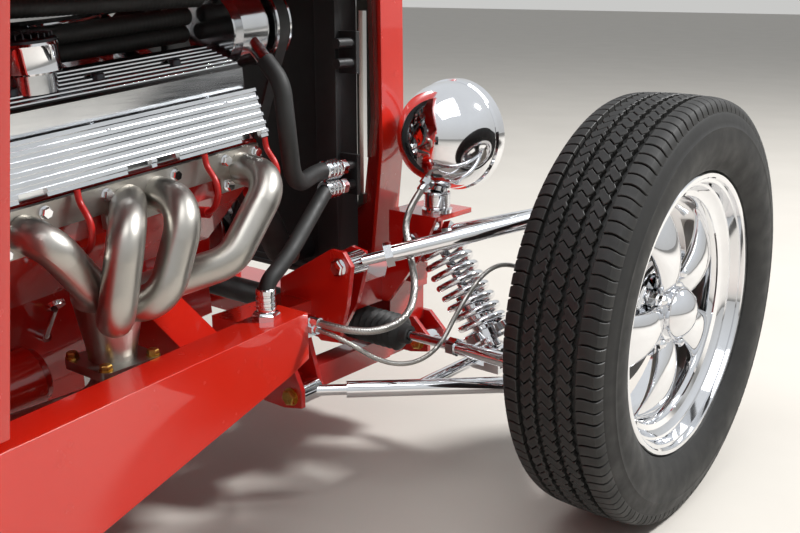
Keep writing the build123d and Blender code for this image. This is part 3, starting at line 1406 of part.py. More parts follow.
# Fittings on the rails' noses, where the lamp conduits and the brake hoses start
fitting_face = rail_nose_aft - seat_gap
with BuildPart() as line_fittings:
    add(block(308, 330, fitting_face - 16, fitting_face, 278, 308))
    add(rod((328, at(339), 291), (343, at(339), 291), 13))
    add(hex_rod((330, at(339), 291), (337, at(339), 291), 16))
    add(rod((328, at(338), 302), (345, at(338), 302), 15))
    mirror(about=Plane.YZ)
    # fitting of the cooling line on the right rail
    add(rod((-300, at(400), rail_top + 10.5), (-300, at(400), rail_top + 20.7), 30))
    # dipstick with its round handle
    add(rod(on_engine(-116.6, 400, -40), on_engine(-134, 400, -40), 14))
    add(rod(on_engine(-130, 400, -40), on_engine(-168, 402, 8), 9))
    with Locations(Location(tuple(on_engine(-172, 402, 15)), (0, 35, 0))):
        Cylinder(13, 6)
write("line_fittings", line_fittings.part)

# Free hoses: each route is its points, in outboard, aft and height
brake_hose_diameter, conduit_diameter = 7, 11
brake_hose_route = (
    (343.3, 339, 291),
    (378, 339, 291),
    (438, 290, 240),
    (478, 234, 252),
    (482, 176, 322),
    (496, 118, 372),
    (514, 50, 352),
    (536, 3, 330),
    (583.4, 3, 330),
)
lamp_conduit_route = (
    (345.3, 338, 302),
    (390, 338, 301),
    (430, 306, 298),
    (440, 250, 308),
    (418, 205, 340),
    (384, 175, 375),
    (344.7, 144.4, 428.1),
    (351.96, 108.22, 461.8),
)
for name, route, diameter in (
    ("brake_hose", brake_hose_route, brake_hose_diameter),
    ("lamp_conduit", lamp_conduit_route, conduit_diameter),
):
    points = [(x, at(aft), z) for x, aft, z in route]
    radii = soft_radii(points)
    print(name, [round(radius) for radius in radii])
    hose = tube(points, radii, diameter)
    write(f"{name}_left", hose)
    write(f"{name}_right", mirror(hose, about=Plane.YZ))
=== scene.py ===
import json
import math
import bpy
from mathutils import Matrix, Vector


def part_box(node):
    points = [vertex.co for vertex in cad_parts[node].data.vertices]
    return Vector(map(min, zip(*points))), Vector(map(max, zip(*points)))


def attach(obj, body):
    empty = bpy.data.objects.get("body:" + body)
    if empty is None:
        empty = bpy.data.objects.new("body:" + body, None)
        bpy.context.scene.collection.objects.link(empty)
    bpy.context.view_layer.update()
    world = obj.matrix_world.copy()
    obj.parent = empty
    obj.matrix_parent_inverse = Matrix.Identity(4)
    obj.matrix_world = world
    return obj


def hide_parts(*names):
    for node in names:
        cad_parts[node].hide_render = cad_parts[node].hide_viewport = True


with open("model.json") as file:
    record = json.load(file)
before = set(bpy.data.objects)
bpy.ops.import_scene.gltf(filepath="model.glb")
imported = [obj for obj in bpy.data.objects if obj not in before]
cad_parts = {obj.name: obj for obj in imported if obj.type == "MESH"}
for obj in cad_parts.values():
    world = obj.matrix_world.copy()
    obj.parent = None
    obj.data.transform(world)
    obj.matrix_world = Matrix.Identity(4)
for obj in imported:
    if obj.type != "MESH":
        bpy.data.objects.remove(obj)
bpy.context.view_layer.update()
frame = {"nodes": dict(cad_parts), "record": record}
nodes = frame["nodes"]
print("frame loaded with", len(nodes), "nodes")

# the frame's own measures, in metres
frontAxle, rearAxle = -1.468, 1.222
frontHalfTrack, rearHalfTrack = 0.705, 0.700
frontHub, rearHub = 0.314, 0.369
engineLean = math.radians(5)
engineNose = Vector((0, frontAxle + 0.250, 0.393))
engineFrame = Matrix.Translation(engineNose) @ Matrix.Rotation(-engineLean, 4, "X")
bothSides = (("Left", 1), ("Right", -1))
alongCar, upwards = (0, 1, 0), (0, 0, 1)
engineUp = Vector((0, math.sin(engineLean), math.cos(engineLean)))


def carPoint(outboard, aft, height):  # millimetres from the middle, behind the front axle and off the ground
    return Vector((outboard / 1000, frontAxle + aft / 1000, height / 1000))


def enginePoint(across, aft, height):  # millimetres in the engine's own leaning frame
    return engineFrame @ (Vector((across, aft, height)) / 1000)


# valve cover tops, for the painted shade between their fins: outer edge in the engine's frame, and the fall
# outwards
coverTop = {
    "outer": 0.262, "height": 0.284, "slope": 27 / 86, "shadeFrom": -0.0006, "shadeTo": 0.0019,
    "shadeDull": 0.35,
}
coverTop["base"] = (
    engineNose.y * math.sin(engineLean) + engineNose.z * math.cos(engineLean)
    + coverTop["height"] + coverTop["outer"] * coverTop["slope"]
)

# camera at the photograph's angle
view = {"place": (-1.292, -0.130, 0.773), "look": (0.6007, -0.7523, -0.2706), "lens": 45.0, "roll": 0.1}
bpy.ops.object.camera_add(location=view["place"])
camera = bpy.context.object
camera.rotation_mode = "QUATERNION"
aim = Vector(view["look"]).to_track_quat("-Z", "Y")
camera.rotation_quaternion = aim @ Matrix.Rotation(math.radians(view["roll"]), 3, "Z").to_quaternion()
camera.data.lens = view["lens"]
camera.data.clip_start = 0.02
bpy.context.scene.camera = camera
print("camera placed")


def srgb(hexColour):
    values = [int(hexColour[i : i + 2], 16) / 255 for i in (1, 3, 5)]
    return [v / 12.92 if v <= 0.04045 else ((v + 0.055) / 1.055) ** 2.4 for v in values] + [1.0]


def addNode(tree, kind, settings=(), links=()):
    node = tree.nodes.new(kind)
    for key, value in dict(settings).items():
        if isinstance(key, str) and hasattr(node, key):
            setattr(node, key, value)
        else:
            node.inputs[key].default_value = value
    for key, source in dict(links).items():
        tree.links.new(source, node.inputs[key])
    return node


def betweenFins(tree, place):  # by how far a point stands off the valve cover's sloping top
    axes = addNode(tree, "ShaderNodeSeparateXYZ", {}, {"Vector": place}).outputs
    aft = {"operation": "MULTIPLY_ADD", 1: math.sin(engineLean), 2: -coverTop["base"]}
    aftPart = addNode(tree, "ShaderNodeMath", aft, {0: axes["Y"]}).outputs["Value"]
    up = {"operation": "MULTIPLY_ADD", 1: math.cos(engineLean)}
    upPart = addNode(tree, "ShaderNodeMath", up, {0: axes["Z"], 2: aftPart}).outputs["Value"]
    outboard = addNode(tree, "ShaderNodeMath", {"operation": "ABSOLUTE"}, {0: axes["X"]}).outputs["Value"]
    fall = {"operation": "MULTIPLY_ADD", 1: coverTop["slope"]}
    stand = addNode(tree, "ShaderNodeMath", fall, {0: outboard, 2: upPart}).outputs["Value"]
    over = addNode(tree, "ShaderNodeMath", {"operation": "GREATER_THAN", 1: coverTop["shadeFrom"]}, {0: stand})
    under = addNode(tree, "ShaderNodeMath", {"operation": "LESS_THAN", 1: coverTop["shadeTo"]}, {0: stand})
    both = {0: over.outputs["Value"], 1: under.outputs["Value"]}
    return addNode(tree, "ShaderNodeMath", {"operation": "MULTIPLY"}, both).outputs["Value"]


def bumpPattern(tree, look, place, stretch):
    pattern, size = look.get("pattern", "grain"), 1000 / look["grain"]
    if pattern == "cells":
        return addNode(tree, "ShaderNodeTexVoronoi", {"Scale": size}, {"Vector": stretch}).outputs["Distance"]
    if pattern == "rings":  # turned face, rings about the wheel's own axle line
        centre = addNode(tree, "ShaderNodeMapping", {"Location": look["centre"]}, {"Vector": place})
        rings = {"wave_type": "RINGS", "rings_direction": "X", "Scale": size, "Distortion": 0.3, "Detail": 1}
        return addNode(tree, "ShaderNodeTexWave", rings, {"Vector": centre.outputs["Vector"]}).outputs["Fac"]
    if pattern == "braid":  # two crossing lays of wire
        quarter = {"Rotation": (0, math.radians(90), math.radians(90))}
        turned = addNode(tree, "ShaderNodeMapping", quarter, {"Vector": place}).outputs["Vector"]
        lay = {"bands_direction": "DIAGONAL", "Scale": size}
        first, second = (addNode(tree, "ShaderNodeTexWave", lay, {"Vector": way}) for way in (place, turned))
        both = {0: first.outputs["Fac"], 1: second.outputs["Fac"]}
        return addNode(tree, "ShaderNodeMath", {"operation": "MULTIPLY"}, both).outputs["Value"]
    noise = {"Scale": size, "Detail": 4, "Roughness": 0.65}
    return addNode(tree, "ShaderNodeTexNoise", noise, {"Vector": stretch}).outputs["Fac"]


def finish(name, look):
    # colour varies between two tones, roughness between two values, and grain is a bump of a real size in mm
    material = bpy.data.materials.new(name)
    material.use_nodes = True
    tree = material.node_tree
    shader = tree.nodes["Principled BSDF"]
    place = addNode(tree, "ShaderNodeTexCoord").outputs["Object"]
    scale = {"Scale": look.get("stretch", (1, 1, 1))}
    stretch = addNode(tree, "ShaderNodeMapping", scale, {"Vector": place}).outputs["Vector"]
    clouds = {"Scale": 1000 / look.get("cloud", 90), "Detail": 5, "Roughness": 0.6}
    cloud = addNode(tree, "ShaderNodeTexNoise", clouds, {"Vector": place})
    tone = addNode(tree, "ShaderNodeValToRGB", {}, {"Fac": cloud.outputs["Fac"]})
    dark, light = tone.color_ramp.elements
    dark.position, light.position = 0.3, 0.7
    dark.color, light.color = srgb(look["dark"]), srgb(look["light"])
    colour = tone.outputs["Color"]
    if "edge" in look:  # rubbed edges, brighter or duller than the face
        point = addNode(tree, "ShaderNodeNewGeometry").outputs["Pointiness"]
        rub = addNode(tree, "ShaderNodeMapRange", {"From Min": 0.52, "From Max": 0.62}, {"Value": point})
        worn = {"Factor": rub.outputs["Result"], 6: colour}
        colour = addNode(tree, "ShaderNodeMix", {"data_type": "RGBA", 7: srgb(look["edge"])}, worn).outputs[2]
    # painted shade: the valleys between the valve cover's fins are mixed to black
    gap = betweenFins(tree, place) if "valley" in look else None
    if gap:
        shadedValleys = {"Factor": gap, 6: colour}
        black = {"data_type": "RGBA", 7: srgb(look["valley"])}
        colour = addNode(tree, "ShaderNodeMix", black, shadedValleys).outputs[2]
    tree.links.new(colour, shader.inputs["Base Color"])
    smears = {"Scale": 1000 / look.get("smear", 30), "Detail": 3}
    smear = addNode(tree, "ShaderNodeTexNoise", smears, {"Vector": stretch})
    low, high = look["roughness"]
    span = {"From Min": 0.3, "From Max": 0.7, "To Min": low, "To Max": high}
    gloss = addNode(tree, "ShaderNodeMapRange", span, {"Value": smear.outputs["Fac"]}).outputs["Result"]
    if gap:  # the painted shade isn't metal, and it is duller
        unshaded = addNode(tree, "ShaderNodeMath", {"operation": "SUBTRACT", 0: 1.0}, {1: gap})
        tree.links.new(unshaded.outputs["Value"], shader.inputs["Metallic"])
        duller = {"operation": "MULTIPLY_ADD", 1: coverTop["shadeDull"]}
        gloss = addNode(tree, "ShaderNodeMath", duller, {0: gap, 2: gloss}).outputs["Value"]
    else:
        shader.inputs["Metallic"].default_value = look.get("metallic", 0)
    tree.links.new(gloss, shader.inputs["Roughness"])
    shader.inputs["Coat Weight"].default_value = look.get("coat", 0)
    shader.inputs["Coat Roughness"].default_value = look.get("coatRoughness", 0.03)
    shader.inputs["Sheen Weight"].default_value = look.get("sheen", 0)
    height = bumpPattern(tree, look, place, stretch)
    force = {"Strength": look.get("strength", 0.3), "Distance": look["depth"] / 1000}
    relief = addNode(tree, "ShaderNodeBump", force, {"Height": height})
    if "rounded" in look:  # pressed or welded edges catch light on a small radius
        radius = addNode(tree, "ShaderNodeBevel", {"samples": 4, "Radius": look["rounded"] / 1000})
        tree.links.new(radius.outputs["Normal"], relief.inputs["Normal"])
    tree.links.new(relief.outputs["Normal"], shader.inputs["Normal"])
    for key, value in look.get("shader", {}).items():
        shader.inputs[key].default_value = value
    return material


finishes = {
    # two-pack gloss enamel on steel: deep red, wet clear coat with a faint orange peel
    "redEnamel": {
        "dark": "#A90E08", "light": "#B9150C", "roughness": (0.2, 0.28), "coat": 1.0, "grain": 6,
        "depth": 0.01, "strength": 0.04, "rounded": 2.5, "cloud": 300, "edge": "#C92412",
    },
    # satin chassis black, sprayed, dusty in the hollows
    "chassisBlack": {
        "dark": "#141415", "light": "#222223", "roughness": (0.38, 0.55), "grain": 3, "depth": 0.05,
        "edge": "#343434", "rounded": 1.5,
    },
    # chromium plate on polished steel: near mirror with faint wiping marks
    "chromePlate": {
        "dark": "#E4E5E8", "light": "#EFF0F2", "roughness": (0.03, 0.09), "metallic": 1.0, "grain": 2,
        "depth": 0.005, "strength": 0.05, "smear": 60,
    },
    # buffed aluminium: bright, with soft polishing lines along the car
    "buffedAluminium": {
        "dark": "#D3D5D8", "light": "#E2E4E6", "roughness": (0.1, 0.2), "metallic": 1.0, "grain": 1.2,
        "depth": 0.01, "strength": 0.05, "stretch": (8, 0.4, 8),
    },
    # sand-cast aluminium: grey, pitted skin
    "sandCastAluminium": {
        "dark": "#85878A", "light": "#A2A4A6", "roughness": (0.4, 0.6), "metallic": 1.0, "grain": 1.6,
        "depth": 0.25, "strength": 0.5, "edge": "#B8BABC",
    },
    # brushed stainless tube: warm grey, drawn lines, straw tint from heat
    "brushedStainless": {
        "dark": "#ADA9A2", "light": "#BBB8B2", "roughness": (0.3, 0.4), "metallic": 1.0, "grain": 0.9,
        "depth": 0.02, "strength": 0.12, "cloud": 140,
    },
    # stainless wire braid over hose: fine crossing wires, drawn a little coarser than real so that it shows
    "wireBraid": {
        "dark": "#8F8C88", "light": "#B4B2AE", "roughness": (0.28, 0.4), "metallic": 1.0, "pattern": "braid",
        "grain": 9, "depth": 0.5, "strength": 0.9,
    },
    # turned cast iron: fine lathe rings, brown tint in the pores
    "turnedIron": {
        "dark": "#6D6862", "light": "#8B8781", "roughness": (0.3, 0.42), "metallic": 1.0, "pattern": "rings",
        "centre": (0, 1.468, -0.314), "grain": 14, "depth": 0.05, "strength": 0.4,
    },
    # moulded rubber: matt black with a fine grain
    "mouldedRubber": {
        "dark": "#161616", "light": "#242423", "roughness": (0.5, 0.7), "grain": 1.0, "depth": 0.06,
        "strength": 0.35,
    },
    # red silicone lead jacket: satin, slightly dusty
    "redSilicone": {
        "dark": "#A81310", "light": "#C21B16", "roughness": (0.3, 0.45), "grain": 1.2, "depth": 0.03,
        "strength": 0.2, "shader": {"Subsurface Weight": 0.05},
    },
    # tyre tread and sidewall compound: charcoal black with scuffs and dust
    "tyreCompound": {
        "dark": "#0B0B0B", "light": "#151514", "roughness": (0.5, 0.72), "grain": 1.4, "depth": 0.1,
        "strength": 0.45, "cloud": 40, "edge": "#282725",
    },
    # window glass with a faint green body
    "clearGlass": {
        "dark": "#E9F4F0", "light": "#F2F9F7", "roughness": (0.0, 0.02), "grain": 40, "depth": 0.01,
        "strength": 0.02, "shader": {"Transmission Weight": 1.0, "IOR": 1.5},
    },
    # ruby moulded lens
    "rubyLens": {
        "dark": "#7E0505", "light": "#9C0A08", "roughness": (0.05, 0.1), "pattern": "cells", "grain": 5,
        "depth": 0.4, "strength": 0.5, "shader": {"Transmission Weight": 0.45, "IOR": 1.49},
    },
    # vegetable tanned upholstery hide: pebbled grain, paler where it is rubbed
    "tanHide": {
        "dark": "#8E6238", "light": "#AA7B49", "roughness": (0.4, 0.55), "pattern": "cells", "grain": 2.4,
        "depth": 0.25, "strength": 0.45, "sheen": 0.15, "edge": "#BE9462",
    },
    # finned valve covers: buffed fins, with black painted shade in the valleys between them
    "finnedAluminium": {
        "dark": "#D3D5D8", "light": "#E2E4E6", "roughness": (0.1, 0.2), "metallic": 1.0, "grain": 1.2,
        "depth": 0.01, "strength": 0.05, "stretch": (8, 0.4, 8), "rounded": 0.6, "valley": "#0F0F10",
    },
    # black oxide on small steel screws: oily blue-black
    "blackOxide": {
        "dark": "#17181B", "light": "#24262A", "roughness": (0.24, 0.4), "metallic": 0.7, "grain": 0.8,
        "depth": 0.02, "edge": "#4B4D52", "cloud": 20,
    },
    # yellow passivated zinc on bolts: straw with a green and pink drift
    "passivatedSteel": {
        "dark": "#B08A3C", "light": "#D2AF62", "roughness": (0.24, 0.36), "metallic": 1.0, "grain": 0.8,
        "depth": 0.02, "strength": 0.15, "cloud": 8,
    },
    # cream stove enamel on instrument faces
    "creamEnamel": {
        "dark": "#E6DCC2", "light": "#EFE7D0", "roughness": (0.3, 0.4), "grain": 2, "depth": 0.01,
        "strength": 0.1, "coat": 0.4,
    },
    # black-brown hide on the steering wheel
    "darkHide": {
        "dark": "#1F1512", "light": "#33231D", "roughness": (0.38, 0.5), "pattern": "cells", "grain": 1.8,
        "depth": 0.2, "strength": 0.4, "edge": "#4A372C",
    },
}
materials = {name: finish(name, look) for name, look in finishes.items()}
slotFinish = {
    "red_paint": "redEnamel", "black_paint": "chassisBlack", "chrome": "chromePlate",
    "polished_aluminium": "buffedAluminium", "cast_aluminium": "sandCastAluminium",
    "stainless_steel": "brushedStainless", "braided_steel": "wireBraid", "cast_iron": "turnedIron",
    "black_rubber": "mouldedRubber", "red_rubber": "redSilicone", "tyre_rubber": "tyreCompound",
    "clear_glass": "clearGlass", "red_lens": "rubyLens", "tan_leather": "tanHide", "dark_leather": "darkHide",
}
nodeFinish = {"valve_covers": "finnedAluminium"}
print("materials made")

# free hoses: millimetres outboard, behind the front axle and off the ground, as in the part's source
hoses = {
    "brakeHose": {"node": "brake_hose", "diameter": 7, "length": 0.515, "route": (
        (343.3, 339, 291), (378, 339, 291), (438, 290, 240), (478, 234, 252), (482, 176, 322),
        (496, 118, 372), (514, 50, 352), (536, 3, 330), (583.4, 3, 330))},
    "lampConduit": {"node": "lamp_conduit", "diameter": 11, "length": 0.381, "route": (
        (345.3, 338, 302), (390, 338, 301), (430, 306, 298), (440, 250, 308), (418, 205, 340),
        (384, 175, 375), (344.7, 144.4, 428.1), (351.96, 108.22, 461.8))},
}
for name, hose in hoses.items():
    for sideName, side in bothSides:
        curve = bpy.data.curves.new(name + sideName, "CURVE")
        curve.dimensions = "3D"
        spline = curve.splines.new("NURBS")
        places = [carPoint(side * x, aft, height) for x, aft, height in hose["route"]]
        spline.points.add(len(places) - 1)
        for point, place in zip(spline.points, places):
            point.co = (*place, 1)
        spline.order_u = 3
        spline.use_endpoint_u = True
        spline.resolution_u = 10
        curve.bevel_depth = hose["diameter"] / 2000
        curve.bevel_resolution = 4
        curve.use_fill_caps = True
        line = bpy.data.objects.new(name + sideName, curve)
        bpy.context.scene.collection.objects.link(line)
        line.data.materials.append(materials["wireBraid"])
        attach(line, "chassis_and_body")
        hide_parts(hose["node"] + "_" + sideName.lower())
print("hoses laid")

for part in frame["record"]["subparts"]:
    node = nodes[part["node"]]
    node.data.materials.clear()
    node.data.materials.append(materials[nodeFinish.get(part["node"], slotFinish[part["material_slot"]])])


def onlyThis(piece):
    bpy.ops.object.select_all(action="DESELECT")
    bpy.context.view_layer.objects.active = piece
    piece.select_set(True)


def newPiece(name, places, edges, faces, material):
    mesh = bpy.data.meshes.new(name)
    mesh.from_pydata([Vector(place) for place in places], edges, faces)
    piece = bpy.data.objects.new(name, mesh)
    bpy.context.scene.collection.objects.link(piece)
    mesh.materials.append(material)
    onlyThis(piece)
    return piece


def smooth(piece, angle=35):
    onlyThis(piece)
    bpy.ops.object.shade_smooth_by_angle(angle=math.radians(angle))
    return piece


def closeUp(piece):  # doubles merged first, then every face turned outwards
    onlyThis(piece)
    bpy.ops.object.mode_set(mode="EDIT")
    bpy.ops.mesh.select_all(action="SELECT")
    bpy.ops.mesh.remove_doubles(threshold=0.00001)
    bpy.ops.mesh.normals_make_consistent(inside=False)
    bpy.ops.object.mode_set(mode="OBJECT")


def lathe(name, profile, origin, axis, material, steps=64, angle=35):  # profile in mm: along the axis, out
    along = Vector(axis).normalized()
    out = along.orthogonal().normalized()
    places = [Vector(origin) + along * (a / 1000) + out * (r / 1000) for a, r in profile]
    piece = newPiece(name, places, [(i, i + 1) for i in range(len(places) - 1)], [], material)
    bpy.ops.object.mode_set(mode="EDIT")
    bpy.ops.mesh.select_all(action="SELECT")
    bpy.ops.mesh.spin(steps=steps, angle=2 * math.pi, center=origin, axis=along)
    bpy.ops.object.mode_set(mode="OBJECT")
    closeUp(piece)
    return smooth(piece, angle)


def loft(name, stations, turn, material, sides=16):  # oval sections in mm: place, half width, half thickness
    bpy.ops.object.select_all(action="DESELECT")
    bpy.ops.mesh.primitive_circle_add(vertices=sides, radius=0.001, fill_type="NGON")
    piece = bpy.context.object
    piece.name = name
    bpy.ops.object.mode_set(mode="EDIT")
    bpy.ops.mesh.select_all(action="SELECT")
    here, wide, thick = Vector(stations[0][0]) / 1000, stations[0][1], stations[0][2]
    bpy.ops.transform.resize(value=(wide, thick, 1))
    bpy.ops.transform.translate(value=here)
    for place, nextWide, nextThick in stations[1:]:
        step = Vector(place) / 1000 - here
        bpy.ops.mesh.extrude_region_move(TRANSFORM_OT_translate={"value": step})
        here, centre = here + step, tuple(here + step)
        bpy.ops.transform.resize(value=(nextWide / wide, nextThick / thick, 1), center_override=centre)
        wide, thick = nextWide, nextThick
    bpy.ops.object.mode_set(mode="OBJECT")
    piece.data.transform(turn)
    piece.data.materials.append(material)
    closeUp(piece)
    return smooth(piece, 60)


def spunCopies(piece, count, centre, axis):  # the piece, repeated about an axis
    onlyThis(piece)
    bpy.ops.object.mode_set(mode="EDIT")
    bpy.ops.mesh.select_all(action="SELECT")
    bpy.ops.mesh.spin(
        steps=count, dupli=True, angle=2 * math.pi, center=centre, axis=axis, use_auto_merge=False
    )
    bpy.ops.mesh.select_all(action="SELECT")
    bpy.ops.mesh.remove_doubles(threshold=0.000005)
    bpy.ops.object.mode_set(mode="OBJECT")


def joined(pieces, name):
    onlyThis(pieces[0])
    for other in pieces[1:]:
        other.select_set(True)
    bpy.ops.object.join()
    pieces[0].name = name
    pieces[0].data.name = name
    return pieces[0]


def modified(piece, kind, **settings):
    onlyThis(piece)
    modifier = piece.modifiers.new(kind.title(), kind)
    for key, value in settings.items():
        setattr(modifier, key, value)
    bpy.ops.object.modifier_apply(modifier=modifier.name)
    return piece


def copied(piece, name, matrix):
    twin = piece.copy()
    twin.data = piece.data.copy()
    twin.name = twin.data.name = name
    bpy.context.scene.collection.objects.link(twin)
    twin.data.transform(matrix)
    return twin


def finished(piece, body, slot, *replaced):
    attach(piece, body)
    if replaced:
        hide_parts(*replaced)
    return piece


# tyres: a turned carcass with sipe-cut blocks round it; all sizes in mm
tyreLook = {
    "front": {"radius": 314, "width": 157, "halfRim": 61, "pitches": 56},
    "rear": {"radius": 369, "width": 255, "halfRim": 100, "pitches": 62},
    "grooveDepth": 8.0, "grooveFloor": 7.4, "grooveWidth": 7.4, "chamfer": 0.8, "cut": 1.9, "firstCut": 3.4,
    "innerGroove": 0.165, "outerGroove": 0.47,  # shares of half the tread's width
    "ledge": 208, "flange": 211, "shoulderDrop": 22, "wallSteps": 25,
    "rings": ((0.16, 0.2), (0.74, 0.78)), "ringLift": 0.9,
}


def crownProfile(radius, width):  # the tread's own line: across and out, from the middle to the shoulder
    half = width / 2
    shoulder = half - 15
    across = [
        0, shoulder / 4, shoulder / 2, shoulder * 0.75, shoulder - 6, half - 14, half - 11, half - 9,
        half - 7.8, half - 7,
    ]
    drops = [0, 0.2, 0.8, 1.6, 3.0, 5.6, 9.0, 12.6, 17, 22]
    return [(a, radius - drop) for a, drop in zip(across, drops)]


def onCrown(line, run, lift):  # a point this far along the line, lifted off it
    side = -1 if run < 0 else 1
    left = abs(run)
    for (a0, r0), (a1, r1) in zip(line, line[1:]):
        piece = math.hypot(a1 - a0, r1 - r0)
        if left <= piece or (a1, r1) == line[-1]:
            share = left / piece
            normal = ((r0 - r1) / piece, (a1 - a0) / piece)
            across = a0 + (a1 - a0) * share + normal[0] * lift
            return side * across, r0 + (r1 - r0) * share + normal[1] * lift
        left -= piece


def treadPitch(kind, line, reach):
    look = tyreLook[kind]
    pitch = 2 * math.pi * look["radius"] / look["pitches"]
    inner, outer = reach * tyreLook["innerGroove"], reach * tyreLook["outerGroove"]
    gap = tyreLook["grooveWidth"] / 2
    ribs = [  # from, to, places along the pitch where a cut runs across, how far the cut waves, side teeth
        (-inner + gap, inner - gap, (0, 0.5), 4.2, 1.9),
        (inner + gap, outer - gap, (0.25, 0.75), 4.4, 1.7),
        (-outer + gap, -inner - gap, (0.75, 0.25), -4.4, 1.7),
        (outer + gap, reach, (0.1, 0.6), 1.6, 0.0),
        (-reach, -outer - gap, (0.2, 0.7), -1.6, 0.0),
    ]
    places, faces = [], []
    for start, end, cuts, wave, teeth in ribs:
        cuts = sorted(cuts)
        columns = 7 if abs(end - start) > 25 else 4
        rows = 3
        for index, cut in enumerate(cuts):
            low = cut * pitch
            high = (cuts[index + 1] if index + 1 < len(cuts) else cuts[0] + 1) * pitch
            wide = tyreLook["cut"] if index else tyreLook["firstCut"]
            low, high = low + wide / 2, high - tyreLook["cut"] / 2
            first = len(places)
            for row in range(rows + 1):
                for column in range(columns + 1):
                    share = column / columns
                    run = start + (end - start) * share
                    if teeth and column in (0, columns) and row in (1, 2):
                        run += teeth * (1 if column else -1) * (1 if row == 1 else -1)
                    along = low + (high - low) * row / rows + wave * math.sin(2 * math.pi * share)
                    places.append((run / 1000, along / 1000, -tyreLook["chamfer"] / 1000))
            for row in range(rows):
                for column in range(columns):
                    corner = first + row * (columns + 1) + column
                    faces.append((corner, corner + 1, corner + columns + 2, corner + columns + 1))
    return places, faces


def tyreTemplate(kind):
    look = tyreLook[kind]
    radius, width, halfRim = look["radius"], look["width"], look["halfRim"]
    half, bead = width / 2, halfRim - 6.2
    line = crownProfile(radius, width)
    reach = sum(math.dist(a, b) for a, b in zip(line, line[1:]))
    places, faces = treadPitch(kind, line, reach)
    blocks = newPiece("treadBlocks", places, [], faces, materials["tyreCompound"])
    bpy.ops.object.mode_set(mode="EDIT")
    bpy.ops.mesh.select_all(action="SELECT")
    down = (0, 0, -tyreLook["grooveDepth"] / 1000)
    bpy.ops.mesh.extrude_region_move(TRANSFORM_OT_translate={"value": down})
    bpy.ops.mesh.select_all(action="SELECT")
    bpy.ops.mesh.normals_make_consistent(inside=False)
    bpy.ops.mesh.select_all(action="DESELECT")
    bpy.ops.object.mode_set(mode="OBJECT")
    for face in blocks.data.polygons:
        face.select = face.normal.z > 0.9 and face.center.z > -0.002
    bpy.ops.object.mode_set(mode="EDIT")
    bpy.ops.mesh.select_mode(type="FACE")
    bpy.ops.mesh.inset(thickness=tyreLook["chamfer"] / 1000, depth=tyreLook["chamfer"] / 1000)
    bpy.ops.object.mode_set(mode="OBJECT")
    for vertex in blocks.data.vertices:  # the flat pitch is wrapped round the crown
        across, out = onCrown(line, max(-reach, min(reach, vertex.co.x * 1000)), vertex.co.z * 1000)
        turn = vertex.co.y * 1000 / radius
        vertex.co = (across / 1000, out * math.sin(turn) / 1000, out * math.cos(turn) / 1000)
    spunCopies(blocks, look["pitches"], (0, 0, 0), (1, 0, 0))
    middle, floor = (tyreLook["ledge"] + radius) / 2 - 4, -tyreLook["grooveFloor"]
    flange, shoulder = tyreLook["flange"], radius - tyreLook["shoulderDrop"]
    side = [(0, 191.5), (bead - 1, 194.3), (bead, 209), (halfRim + 1, flange)]
    for step in range(1, tyreLook["wallSteps"]):  # the sidewall bulges to its widest, with turned rings on it
        share = step / tyreLook["wallSteps"]
        out = flange + (shoulder - flange) * share
        bulge = 1 - ((out - middle) / ((shoulder - middle) if out > middle else (middle - flange))) ** 2
        low = half - 7 if out > middle else halfRim + 1
        ring = any(start < share < end for start, end in tyreLook["rings"])
        across = low + (half - low) * bulge + (tyreLook["ringLift"] if ring else 0)
        side.append((min(across, half), out))
    drops = ((1.0, 0), (0.96, -1.5), (0.9, -4), (0.84, floor + 0.4), (0.7, floor), (0.4, floor), (0.2, floor))
    side += [onCrown(line, reach * share, lift) for share, lift in drops]
    profile = side + [(0, radius + floor)] + [(-a, r) for a, r in reversed(side)]
    carcass = lathe("carcass", profile, (0, 0, 0), (1, 0, 0), materials["tyreCompound"], steps=128, angle=30)
    smooth(blocks, 25)
    return joined([carcass, blocks], "tyre_" + kind)


# wheels: turned rim and hub, five rounded paddles, cap, acorn nuts and a valve; sizes in mm
wheelLook = {
    "front": {"half": 61, "offset": 18, "back": -8, "drum": False},
    "rear": {"half": 100, "offset": 22, "back": -10, "drum": True},
    "spokes": 5, "nutCircle": 57, "firstSpoke": 67,
    "paddle": (
        (34, 21, 24, 13), (58, 29, 27, 15), (88, 33, 32, 16), (118, 31, 37, 13), (142, 24, 41, 11),
        (160, 15, 43, 9), (166, 10, 44, 8),
    ),
}


